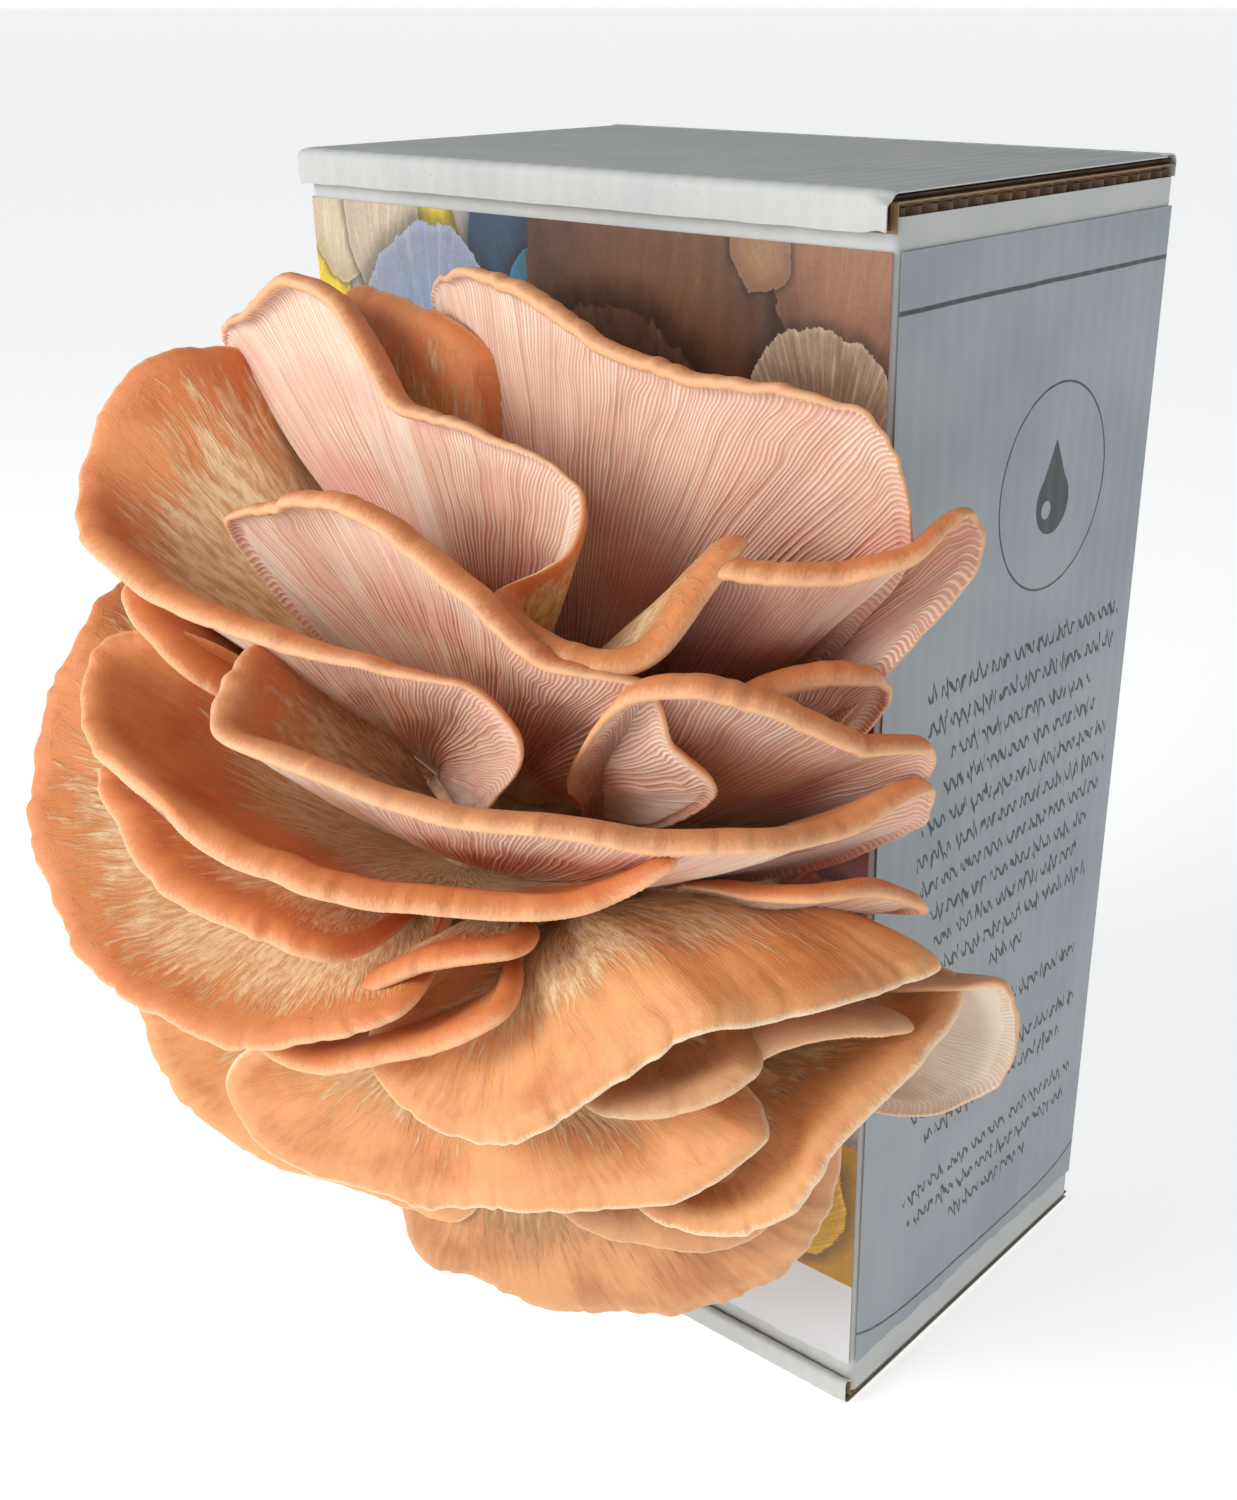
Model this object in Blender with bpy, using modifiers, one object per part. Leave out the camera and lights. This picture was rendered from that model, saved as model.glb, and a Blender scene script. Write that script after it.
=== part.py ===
"""Mushroom grow kit: a board carton with a hinged lid, its block, and the cluster in its window."""
import bmesh
import bpy
import numpy as np
from mathutils import Matrix
from mathutils.bvhtree import BVHTree

MM = 0.001

# Driving sizes, metres. Origin: centre of the carton's base, front face towards -Y.
CARTON_WIDTH = 0.200
CARTON_DEPTH = 0.132
CARTON_HEIGHT = 0.344
BOARD = 0.003                  # thickness of the corrugated board
LIP_HEIGHT = 0.0092            # height of the lips that fold over the front
FOLD_RADIUS = 0.0026           # outer radius of a folded crease
FOLD_STEPS = 5                 # points round a crease
GAP = 0.0003                   # clearance between pieces that touch
GROWN_GAP = 0.0006             # and between mushrooms that press on each other
LABEL_THICKNESS = 0.0003
LABEL_TOP = 0.331
LABEL_BOTTOM = 0.014
LABEL_MARGIN = 0.001           # bare board beside a label

WINDOW_LEFT = -0.074
WINDOW_RIGHT = 0.070
WINDOW_BOTTOM = 0.104
WINDOW_TOP = 0.206

BLOCK_SIZE = (0.184, 0.114, 0.214)
BLOCK_EDGE = 0.012             # rounding of the pressed block
BAG_TOP_SIZE = (0.150, 0.084, 0.014)

BUTT_CENTRE = (0.003, -0.084, 0.160)
BUTT_RADII = (0.050, 0.040, 0.046)

# Mushroom flesh
STEM_WIDTH = 22.0 * MM         # the foot's ribbon, before its rounded sides
CAP_TOP = 1.6 * MM             # half thickness above the middle sheet, at the margin
CAP_UNDER = 2.0 * MM           # and below it, with the gills
STEM_TOP = 2.4 * MM            # what the stem adds to each at the foot
STEM_UNDER = 2.4 * MM
MARGIN_ROLL = 3.0 * MM         # radius of the inrolled margin
MARGIN_TURN = 2.3              # how far the margin rolls in, radians
STATIONS = (0.0, 0.22, 0.48, 0.78, 1.0)  # rows of a cap, from the foot to the margin
CURVE_STEPS = 24               # steps between two points of a margin
EVENNESS = 0.35                # how far columns keep even steps along the margin, not only even angles
STEM_LENGTH = 0.4              # where the stem has opened into the cap, as a share of the reach
SHOULDER_REACH = 0.5           # where a cap's side meets its stem, as a share of the reach
SHOULDER_SPREAD = 0.3          # how far it stands out sideways there
EXTRA_COLUMNS = 7              # columns of a cap, beyond its margin's points
SEAM = 0.02 * MM               # points this near are one, where a mushroom is zipped

# Each mushroom: its foot, then its margin, as (x, out, z) in mm, out being the distance in front of the
# carton, and last how far the cap bulges upwards, as a share of its reach. Seen on the cap's upper side
# with the foot below, the margin runs from left to right. Its sides run back to the stem by themselves.
MUSHROOMS = {
    "mushroom_front_right": ((33, 42, 158), (
        (133, 26, 178), (129, 40, 178), (124, 52, 178), (114, 66, 175), (106, 76, 175), (93, 84, 164),
        (83, 90, 156), (72, 94, 145), (56, 98, 134), (38, 102, 134), (21, 102, 141), (22, 98, 150)), 0.2),
    "mushroom_left_funnel": ((-17, 33, 189), (
        (46, 80, 215), (57, 82, 230), (50, 86, 241), (29, 92, 244), (1, 97, 248), (-34, 98, 249),
        (-59, 96, 252), (-88, 88, 257), (-99, 80, 269), (-95, 68, 289), (-85, 55, 294), (-79, 34, 287)),
        -0.05),
    "mushroom_top_right": ((15, 20, 197), (
        (98, 14, 250), (114, 16, 273), (108, 22, 297), (91, 27, 302), (65, 30, 303), (38, 31, 309),
        (16, 30, 316), (-4, 28, 318), (-22, 24, 311), (-20, 22, 297)), 0.0),
    "mushroom_top_left": ((2, 31, 196), (
        (89, 46, 274), (86, 54, 268), (82, 64, 255), (74, 70, 251), (57, 70, 252), (42, 66, 257),
        (52, 59, 268), (53, 56, 281), (31, 58, 289), (3, 56, 293), (-19, 50, 304), (-35, 45, 312),
        (-54, 44, 314), (-70, 44, 305), (-87, 42, 298), (-55, 30, 262)), 0.0),
    "mushroom_middle_shelf": ((-7, 50, 167), (
        (91, 74, 206), (82, 82, 201), (62, 95, 197), (39, 108, 198), (17, 116, 199), (-6, 120, 203),
        (-31, 122, 212), (-58, 116, 220), (-66, 106, 230), (-54, 94, 232)), 0.0),
    "mushroom_left_outer": ((-32, 36, 160), (
        (32, 106, 163), (14, 114, 155), (-10, 118, 145), (-40, 120, 144), (-76, 118, 146),
        (-104, 112, 166), (-116, 104, 182), (-117, 80, 218), (-121, 56, 227)), 0.0),
    "mushroom_long_shelf": ((9, 47, 178), (
        (123, 24, 210), (126, 26, 221), (121, 46, 217), (112, 64, 217), (97, 78, 217), (82, 88, 219),
        (61, 98, 218), (36, 106, 221), (12, 112, 225), (-10, 110, 227), (-13, 103, 235), (-16, 96, 238)),
        0.0),
    "mushroom_upper_middle": ((6, 38, 191), (
        (96, 64, 225), (88, 68, 233), (84, 70, 245), (66, 76, 250), (46, 80, 262), (25, 80, 271),
        (1, 78, 275), (-21, 76, 270), (-42, 76, 263)), 0.0),
    "mushroom_front_lower": ((11, 44, 136), (
        (109, 62, 136), (104, 68, 129), (94, 72, 120), (76, 80, 114), (52, 88, 107), (26, 94, 99),
        (1, 102, 99), (-21, 108, 104), (-32, 108, 112), (-21, 104, 129)), 0.1),
    "mushroom_bottom": ((12, 31, 125), (
        (113, 38, 123), (114, 38, 109), (110, 42, 94), (99, 46, 77), (81, 52, 64), (56, 58, 53),
        (33, 62, 43), (10, 66, 44), (-11, 68, 46), (-14, 68, 60)), 0.18),
    "mushroom_lower_right": ((34, 35, 143), (
        (132, 14, 163), (133, 24, 156), (126, 40, 143), (120, 48, 133), (117, 54, 121), (108, 62, 110),
        (96, 70, 109), (86, 76, 118)), -0.1),
    "mushroom_left_lower": ((-20, 38, 138), (
        (9, 70, 71), (-10, 76, 69), (-27, 84, 76), (-53, 92, 78), (-68, 100, 90), (-77, 104, 112),
        (-86, 100, 127)), 0.05),
    "mushroom_right_shelf": ((36, 28, 180), (
        (124, 24, 221), (128, 27, 231), (120, 40, 235), (110, 54, 244), (100, 64, 249), (88, 70, 248),
        (83, 72, 244)), 0.0),
    "mushroom_right_tip": ((32, 18, 188), (
        (114, 14, 248), (127, 8, 272), (124, 8, 279), (121, 24, 273), (110, 34, 269), (98, 42, 268),
        (88, 46, 267)), 0.0),
    "mushroom_left_inner": ((-19, 46, 165), (
        (11, 106, 173), (-5, 114, 178), (-28, 118, 182), (-48, 116, 188), (-70, 104, 199)), 0.0),
    "mushroom_left_fold": ((-30, 26, 183), (
        (-41, 96, 231), (-59, 94, 238), (-77, 84, 244), (-70, 52, 222)), 0.0),
    "mushroom_top_back": ((-8, 20, 197), (
        (-54, 28, 307), (-24, 32, 307), (-4, 32, 301), (-1, 27, 284)), 0.1),
    "mushroom_right_frill": ((38, 14, 181), (
        (110, 20, 239), (108, 28, 244), (100, 40, 244), (95, 48, 241)), 0.0),
    "mushroom_right_collar": ((43, 22, 170), (
        (124, 22, 188), (122, 34, 196), (114, 46, 197)), 0.0),
    "mushroom_far_right": ((42, 18, 145), (
        (116, 22, 129), (131, 14, 131), (142, 8, 140), (145, 6, 154), (143, 8, 166), (132, 12, 164)), 0.0),
    "mushroom_right_under": ((42, 29, 154), (
        (131, 30, 166), (122, 42, 173), (116, 54, 174), (110, 62, 164)), 0.0),
    "mushroom_middle_tongue": ((11, 51, 158), (
        (50, 84, 178), (32, 92, 173), (18, 98, 164)), 0.0),
    "mushroom_middle_lip": ((0, 50, 149), (
        (52, 92, 163), (39, 100, 155), (26, 106, 149), (6, 110, 140), (-12, 110, 141)), 0.0),
    "mushroom_small_cup": ((22, 45, 146), (
        (108, 66, 157), (101, 72, 150), (92, 80, 149), (79, 86, 155)), 0.0),
    "mushroom_bottom_lip": ((22, 36, 132), (
        (108, 50, 110), (103, 55, 102), (92, 61, 96), (75, 67, 94), (58, 71, 98)), 0.1),
}

# Colour, roughness of each material
WHITE_BOARD = ((0.52, 0.54, 0.54, 1.0), 0.7)
PRINTED_LABEL = ((0.34, 0.22, 0.15, 1.0), 0.45)
GREY_LABEL = ((0.36, 0.38, 0.40, 1.0), 0.45)
BLOCK_FIBRE = ((0.55, 0.45, 0.32, 1.0), 0.85)
BAG_FILM = ((0.70, 0.70, 0.68, 1.0), 0.3)
MUSHROOM_ORANGE = ((0.70, 0.32, 0.14, 1.0), 0.6)
BUTT_CREAM = ((0.75, 0.55, 0.40, 1.0), 0.7)


def clear_scene():
    """Remove everything the scene holds."""
    for thing in list(bpy.data.objects):
        bpy.data.objects.remove(thing)


def new_collection(name):
    """Add a collection to the scene."""
    collection = bpy.data.collections.new(name)
    bpy.context.scene.collection.children.link(collection)
    return collection


def make_material(name, look):
    """A Principled material with a colour and a roughness."""
    colour, roughness = look
    material = bpy.data.materials.new(name)
    material.use_nodes = True
    shader = material.node_tree.nodes["Principled BSDF"]
    shader.inputs["Base Color"].default_value = colour
    shader.inputs["Roughness"].default_value = roughness
    shader.inputs["Metallic"].default_value = 0.0
    return material


def add_mesh(name, bm, material, collection):
    """Turn a bmesh into a named object."""
    mesh = bpy.data.meshes.new(name)
    bm.to_mesh(mesh)
    bm.free()
    mesh.materials.append(material)
    thing = bpy.data.objects.new(name, mesh)
    collection.objects.link(thing)
    return thing


def add_box(name, low, high, material, collection, edge=0.0):
    """A box between two corners, its edges rounded if edge is given."""
    low, high = np.array(low), np.array(high)
    bm = bmesh.new()
    bmesh.ops.create_cube(bm, size=1.0)
    for vert in bm.verts:
        vert.co = (low + high) / 2 + np.array(vert.co) * (high - low)
    thing = add_mesh(name, bm, material, collection)
    if edge:
        bevel = thing.modifiers.new("rounded edges", "BEVEL")
        bevel.width = edge
        bevel.segments = 3
    return thing


def cut(thing, cutter):
    """Subtract a cutter from a piece."""
    difference = thing.modifiers.new("cut by " + cutter.name, "BOOLEAN")
    difference.operation = "DIFFERENCE"
    difference.object = cutter
    difference.use_self = True


def make_cutter(thing):
    """Hide a cutter from the finished model."""
    thing.hide_render = True
    thing.display_type = "WIRE"


def folded_panel(name, level, up, material, collection):
    """A top or bottom panel with its lip folded over the front, as one bent strip of board.

    level is the height of the panel's outer face, and up is 1 for the lid and -1 for the base.
    """
    front = -CARTON_DEPTH / 2 - GAP - BOARD
    back = CARTON_DEPTH / 2
    bend = np.linspace(0.0, np.pi / 2, FOLD_STEPS)
    outer = [(front + FOLD_RADIUS * (1 - np.sin(a)), -FOLD_RADIUS * (1 - np.cos(a))) for a in bend]
    profile = [(back, -BOARD), (back, 0.0)] + outer + [
        (front, -LIP_HEIGHT), (front + BOARD, -LIP_HEIGHT), (front + BOARD, -BOARD)]
    bm = bmesh.new()
    verts = [bm.verts.new((-CARTON_WIDTH / 2, y, level + up * z)) for y, z in profile]
    face = bm.faces.new(verts)
    swept = bmesh.ops.extrude_face_region(bm, geom=[face])
    moved = [item for item in swept["geom"] if isinstance(item, bmesh.types.BMVert)]
    bmesh.ops.translate(bm, vec=(CARTON_WIDTH, 0.0, 0.0), verts=moved)
    bmesh.ops.recalc_face_normals(bm, faces=bm.faces)
    return add_mesh(name, bm, material, collection)


def build_carton(collection, cutters):
    """The folded tube with its window, the base panel, and the lid on its crease."""
    board = make_material("white board", WHITE_BOARD)
    half_width, half_depth = CARTON_WIDTH / 2, CARTON_DEPTH / 2
    bottom, top = BOARD + GAP, CARTON_HEIGHT - BOARD - GAP
    body = add_box("carton_body", (-half_width, -half_depth, bottom), (half_width, half_depth, top),
                   board, collection)
    hollow = add_box("hollow", (BOARD - half_width, BOARD - half_depth, 0.0),
                     (half_width - BOARD, half_depth - BOARD, CARTON_HEIGHT), board, cutters)
    window = add_box("window", (WINDOW_LEFT, -CARTON_DEPTH, WINDOW_BOTTOM),
                     (WINDOW_RIGHT, 0.0, WINDOW_TOP), board, cutters)
    for cutter in (hollow, window):
        make_cutter(cutter)
        cut(body, cutter)
    folded_panel("carton_base", 0.0, -1, board, collection)
    lid = folded_panel("carton_lid", CARTON_HEIGHT, 1, board, collection)
    crease = (0.0, half_depth, CARTON_HEIGHT - BOARD)
    lid.data.transform(Matrix.Translation([-c for c in crease]))
    lid.location = crease
    return window


def build_labels(collection, window):
    """Paper labels on the front and on both sides."""
    half_width, half_depth = CARTON_WIDTH / 2, CARTON_DEPTH / 2
    front_print = make_material("front print", PRINTED_LABEL)
    side_print = make_material("side print", GREY_LABEL)
    back = -half_depth - GAP
    front = add_box("front_label", (LABEL_MARGIN - half_width, back - LABEL_THICKNESS, LABEL_BOTTOM),
                    (half_width - LABEL_MARGIN, back, LABEL_TOP), front_print, collection)
    cut(front, window)
    for name, side in (("side_label_right", 1), ("side_label_left", -1)):
        faces = sorted((side * (half_width + GAP), side * (half_width + GAP + LABEL_THICKNESS)))
        add_box(name, (faces[0], LABEL_MARGIN - half_depth, LABEL_BOTTOM),
                (faces[1], half_depth - LABEL_MARGIN, LABEL_TOP), side_print, collection)


def build_contents(collection):
    """The growing block on the base, and the folded top of its bag."""
    floor = BOARD + GAP
    width, depth, height = BLOCK_SIZE
    add_box("growing_block", (-width / 2, -depth / 2, floor), (width / 2, depth / 2, floor + height),
            make_material("block fibre", BLOCK_FIBRE), collection, BLOCK_EDGE)
    fold_width, fold_depth, fold_height = BAG_TOP_SIZE
    fold_floor = floor + height + GAP
    add_box("bag_top", (-fold_width / 2, -fold_depth / 2, fold_floor),
            (fold_width / 2, fold_depth / 2, fold_floor + fold_height),
            make_material("bag film", BAG_FILM), collection, fold_height / 4)


def unit(vectors):
    """Vectors of length one."""
    return vectors / np.maximum(np.linalg.norm(vectors, axis=-1, keepdims=True), 1e-12)


def smooth_curve(points):
    """A dense centripetal Catmull-Rom curve through the given points."""
    points = np.array(points, float)
    ends = np.vstack([2 * points[0] - points[1], points, 2 * points[-1] - points[-2]])
    u = np.linspace(0.0, 1.0, CURVE_STEPS, endpoint=False)[:, None]
    pieces = []
    for before, start, end, after in zip(ends, ends[1:], ends[2:], ends[3:]):
        a, b, c = (np.sqrt(np.linalg.norm(q - p)) for p, q in ((before, start), (start, end), (end, after)))
        leave = b * ((start - before) / a - (end - before) / (a + b) + (end - start) / b)
        arrive = b * ((end - start) / b - (after - start) / (b + c) + (after - end) / c)
        pieces.append((2 * u**3 - 3 * u**2 + 1) * start + (u**3 - 2 * u**2 + u) * leave
                      + (3 * u**2 - 2 * u**3) * end + (u**3 - u**2) * arrive)
    return np.vstack(pieces + [points[-1:]])


def soften(vectors, passes):
    """Unit vectors smoothed along their row."""
    for _ in range(passes):
        padded = np.pad(vectors, ((1, 1), (0, 0)), "edge")
        vectors = unit(padded[:-2] + 2 * padded[1:-1] + padded[2:])
    return vectors


def to_frame(points):
    """Points given as (x, out, z) in mm, in the part's own frame."""
    points = np.atleast_2d(np.array(points, float)) * MM
    return np.stack([points[:, 0], -CARTON_DEPTH / 2 - points[:, 1], points[:, 2]], axis=1)


def shoulder(foot, end, inner):
    """A point on a cap's side, between the end of its margin and its stem."""
    reach = np.linalg.norm(end - foot)
    side = unit(end - foot)
    away = end - inner
    away = unit(away - side * (away @ side))
    return foot + SHOULDER_REACH * reach * unit(side + SHOULDER_SPREAD * away)


def cap_sheet(foot, margin, bulge, columns):
    """The middle sheet of a mushroom, a fan of curves from a narrow foot to the margin.

    Returns the sheet's points, its rough upper normals, and at the margin the way straight ahead.
    """
    foot = to_frame(foot)[0]
    margin = to_frame(margin)
    sides = shoulder(foot, margin[0], margin[1]), shoulder(foot, margin[-1], margin[-2])
    rim = smooth_curve([sides[0], *margin, sides[1]])
    out = unit(rim - foot)
    turned = np.linalg.norm(np.diff(out, axis=0), axis=1)
    stepped = np.linalg.norm(np.diff(rim, axis=0), axis=1)
    run = np.concatenate([[0.0], np.cumsum(turned / turned.sum() + EVENNESS * stepped / stepped.sum())])
    even = np.linspace(0.0, run[-1], columns)
    rim = np.stack([np.interp(even, run, rim[:, axis]) for axis in range(3)], axis=1)
    out = unit(rim - foot)
    reach = np.linalg.norm(rim - foot, axis=1, keepdims=True)
    normal = soften(unit(np.cross(np.gradient(out, axis=0), out)), 2)
    middle = unit(out.mean(axis=0))
    span = rim[-1] - rim[0]
    across = unit(span - middle * (span @ middle))
    flat = unit(np.cross(across, middle))
    start = foot + STEM_WIDTH * np.linspace(-0.5, 0.5, columns)[:, None] * across
    lift = bulge * reach * normal
    first = start + reach / 3 * unit(middle + out) + lift
    second = rim - reach / 3 * out + lift
    s = np.array(STATIONS)[None, :, None]
    sheet = ((1 - s)**3 * start[:, None] + 3 * s * (1 - s)**2 * first[:, None]
             + 3 * s**2 * (1 - s) * second[:, None] + s**3 * rim[:, None])
    along_rim = soften(unit(np.gradient(rim, axis=0)), 1)
    ahead = soften(unit(np.cross(normal, along_rim)), 1)
    blend = np.clip(s / STEM_LENGTH, 0, 1)
    return sheet, unit((1 - blend) * flat + blend * normal[:, None]), ahead


def cap_loft(foot, margin, bulge):
    """Points of a mushroom, column by column: up its top, round its rolled margin, down its gills."""
    columns = len(margin) + EXTRA_COLUMNS
    sheet, up, ahead = cap_sheet(foot, margin, bulge, columns)
    course = unit(np.gradient(sheet, axis=1))
    normal = unit(up - (up * course).sum(axis=2, keepdims=True) * course)
    up = normal[:, -1]
    across = np.abs(np.linspace(-1.0, 1.0, columns))[:, None]
    along = np.array(STATIONS)[None, :]
    edge = np.sqrt(1 - across ** (2 + 8 * np.clip(1.3 * along, 0, 1)))
    top = sheet + normal * ((CAP_TOP + STEM_TOP * (1 - along)**2) * edge)[..., None]
    under = sheet - normal * ((CAP_UNDER + STEM_UNDER * (1 - along)**1.6) * edge)[..., None]
    fade = np.sqrt(1 - across**6)
    centre = sheet[:, -1] - up * MARGIN_ROLL * fade
    middle_turn = MARGIN_TURN / 2
    spoke = up * np.cos(middle_turn) + ahead * np.sin(middle_turn)
    tip = up * np.cos(MARGIN_TURN) + ahead * np.sin(MARGIN_TURN)
    roll = [centre + spoke * (MARGIN_ROLL + CAP_TOP) * fade, centre + tip * MARGIN_ROLL * fade,
            centre + spoke * (MARGIN_ROLL - CAP_TOP) * fade]
    return np.concatenate([top, np.stack(roll, axis=1), under[:, ::-1]], axis=1)


def add_mushroom(name, shape, material, collection):
    """One mushroom as a solid: a grid shaped to the loft, zipped at its sides, filled at its foot."""
    points = cap_loft(*shape)
    columns, rows = points.shape[:2]
    bm = bmesh.new()
    bmesh.ops.create_grid(bm, x_segments=columns - 1, y_segments=rows - 1, size=1.0)
    for vert in bm.verts:
        column = round((vert.co.x + 1) / 2 * (columns - 1))
        row = round((vert.co.y + 1) / 2 * (rows - 1))
        vert.co = points[column, row]
    bmesh.ops.remove_doubles(bm, verts=bm.verts, dist=SEAM)
    bmesh.ops.holes_fill(bm, edges=[edge for edge in bm.edges if edge.is_boundary])
    bmesh.ops.triangulate(bm, faces=bm.faces)
    bmesh.ops.recalc_face_normals(bm, faces=bm.faces)
    return add_mesh(name, bm, material, collection)


def keep_largest(thing):
    """Apply a piece's cuts and keep its largest body."""
    bpy.context.view_layer.update()
    evaluated = thing.evaluated_get(bpy.context.evaluated_depsgraph_get())
    bm = bmesh.new()
    bm.from_mesh(bpy.data.meshes.new_from_object(evaluated))
    thing.modifiers.clear()
    islands, seen = [], set()
    for start in bm.verts:
        if start in seen:
            continue
        island, queue = [], [start]
        seen.add(start)
        while queue:
            vert = queue.pop()
            island.append(vert)
            for edge in vert.link_edges:
                other = edge.other_vert(vert)
                if other not in seen:
                    seen.add(other)
                    queue.append(other)
        islands.append(island)
    islands.sort(key=len)
    for island in islands[:-1]:
        bmesh.ops.delete(bm, geom=island, context="VERTS")
    bm.to_mesh(thing.data)
    bm.free()


def overlap(first, second):
    """Whether the surfaces of two pieces meet."""
    trees = []
    for thing in (first, second):
        bm = bmesh.new()
        bm.from_mesh(thing.data)
        trees.append(BVHTree.FromBMesh(bm))
        bm.free()
    return bool(trees[0].overlap(trees[1]))


def room_for(thing, swelling, cutters):
    """A cutter that is larger than a piece all round by a swelling."""
    cutter = bpy.data.objects.new("room for " + thing.name, thing.data.copy())
    cutters.objects.link(cutter)
    make_cutter(cutter)
    swell = cutter.modifiers.new("gap", "DISPLACE")
    swell.mid_level = 0.0
    swell.strength = swelling
    return cutter


def build_cluster(collection, cutters):
    """The butt in the window and the mushrooms on it, each cut clear of the ones before it.

    Each earlier one cuts twice: swollen by the gap, and as it is, because a swollen copy folds in at creases.
    """
    bm = bmesh.new()
    bmesh.ops.create_icosphere(bm, subdivisions=3, radius=1.0)
    for vert in bm.verts:
        vert.co = [c + v * r for c, v, r in zip(BUTT_CENTRE, vert.co, BUTT_RADII)]
    butt = add_mesh("cluster_butt", bm, make_material("butt", BUTT_CREAM), collection)
    rooms = [room_for(butt, GROWN_GAP, cutters)]
    behind = add_box("behind the window", (-CARTON_WIDTH, -BLOCK_SIZE[1] / 2 - GAP, 0.0),
                     (CARTON_WIDTH, CARTON_DEPTH, CARTON_HEIGHT), butt.active_material, cutters)
    make_cutter(behind)
    cut(butt, behind)
    orange = make_material("mushroom", MUSHROOM_ORANGE)
    for name, shape in MUSHROOMS.items():
        mushroom = add_mushroom(name, shape, orange, collection)
        room = [room_for(mushroom, swelling, cutters) for swelling in (GROWN_GAP, 0.0)]
        for earlier in rooms:
            if overlap(mushroom, earlier):
                cut(mushroom, earlier)
        keep_largest(mushroom)
        rooms += room


def main():
    """Build every piece of the kit."""
    clear_scene()
    kit = new_collection("mushroom grow kit")
    cutters = new_collection("cutters")
    window = build_carton(kit, cutters)
    build_labels(kit, window)
    build_contents(kit)
    build_cluster(kit, cutters)


main()
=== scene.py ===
"""An oyster mushroom grow kit: a lidded carton, and the cluster of caps that has grown out of its window.

Everything is in metres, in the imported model's own frame. Tables of points are in millimetres.
"""

import itertools
import logging
import math
from contextlib import contextmanager
from dataclasses import dataclass
from enum import Enum
from functools import cache
from typing import Any, Callable, Dict, Iterator, List, Optional, Sequence, Tuple

import bmesh
import bpy
import numpy as np
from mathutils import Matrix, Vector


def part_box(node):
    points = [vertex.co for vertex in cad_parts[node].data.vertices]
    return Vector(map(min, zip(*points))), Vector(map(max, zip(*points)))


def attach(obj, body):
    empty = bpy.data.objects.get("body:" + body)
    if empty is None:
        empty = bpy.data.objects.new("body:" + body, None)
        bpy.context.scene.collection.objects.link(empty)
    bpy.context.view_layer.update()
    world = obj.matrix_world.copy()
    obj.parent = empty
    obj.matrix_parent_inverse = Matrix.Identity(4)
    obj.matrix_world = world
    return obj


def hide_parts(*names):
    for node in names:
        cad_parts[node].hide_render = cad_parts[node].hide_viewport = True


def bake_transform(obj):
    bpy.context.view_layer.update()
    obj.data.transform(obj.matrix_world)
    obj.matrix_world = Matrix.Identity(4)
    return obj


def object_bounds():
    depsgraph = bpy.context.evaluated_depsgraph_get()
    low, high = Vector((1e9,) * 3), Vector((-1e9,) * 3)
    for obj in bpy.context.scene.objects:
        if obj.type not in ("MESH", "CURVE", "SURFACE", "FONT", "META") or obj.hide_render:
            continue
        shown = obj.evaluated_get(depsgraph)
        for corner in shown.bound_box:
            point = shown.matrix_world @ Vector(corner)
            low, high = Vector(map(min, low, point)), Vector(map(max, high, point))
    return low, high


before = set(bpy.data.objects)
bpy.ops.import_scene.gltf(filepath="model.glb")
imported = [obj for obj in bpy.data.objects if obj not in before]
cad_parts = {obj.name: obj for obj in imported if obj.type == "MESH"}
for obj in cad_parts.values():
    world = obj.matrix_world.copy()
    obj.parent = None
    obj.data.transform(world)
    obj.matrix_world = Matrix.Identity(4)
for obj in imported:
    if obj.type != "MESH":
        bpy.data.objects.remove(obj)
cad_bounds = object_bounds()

MM = 0.001
CM = 0.01
TAU = 2.0 * math.pi
LOG = logging.getLogger("grow_kit")

Point = Tuple[float, float, float]
Array = np.ndarray
Material = bpy.types.Material
# Layers of an uneven surface: the step of each one's pattern, its height, and its own seed
Layers = Sequence[Tuple[Any, float, int]]

# The board: its thickness, its liners, and the waves of the flutes between them
BOARD = 3.0 * MM
LINER = 0.35 * MM
FLUTE_PAPER = 0.2 * MM
FLUTE_PITCH = 6.6 * MM
FLUTE_SWING = BOARD / 2 - LINER - 0.15 * MM
FOLD_RADIUS = 2.6 * MM
SMOOTH_ANGLE = math.radians(40)

# How the sheet of a mushroom is drawn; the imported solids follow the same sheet
STEM_WIDTH = 22.0 * MM
CAP_TOP = 1.6 * MM
CAP_UNDER = 2.0 * MM
STEM_TOP = 2.4 * MM
STEM_UNDER = 2.4 * MM
STEM_LENGTH = 0.4
SHOULDER_REACH = 0.5
SHOULDER_SPREAD = 0.3
CURVE_STEPS = 24
EVENNESS = 0.35
EXTRA_COLUMNS = 7
# The uneven margin, skin and gills; the sway of the gills is in gill pitches
PATTERN_START = 1000.0 * MM
PATTERN_HEIGHT = 70.0 * MM
SCALLOPS = ((17.0 * MM, 1.0 * MM, 0), (5.5 * MM, 0.6 * MM, 1), (2.6 * MM, 0.3 * MM, 5))
RIPPLES = ((24.0 * MM, 1.3 * MM, 2), (9.0 * MM, 0.35 * MM, 3))
SWAYS = (((11.0 * MM, 5.5 * MM), 1.1, 6), ((4.0 * MM, 2.5 * MM), 0.35, 7))
SWELLS = ((13.0 * MM, 0.1, 4),)
# The spacing at which a gill starts and at which it is full height, and the least that is called a spacing
GILL_ROOM = (0.6 * MM, 1.1 * MM)
NARROW = 0.85 * MM
# How far out the edge of the roll is, in the attribute that is 0 at the foot and 1 where the roll starts
OUT_RANGE = 1.25


# ---------------------------------------------------------------------------- shader wiring


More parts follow.
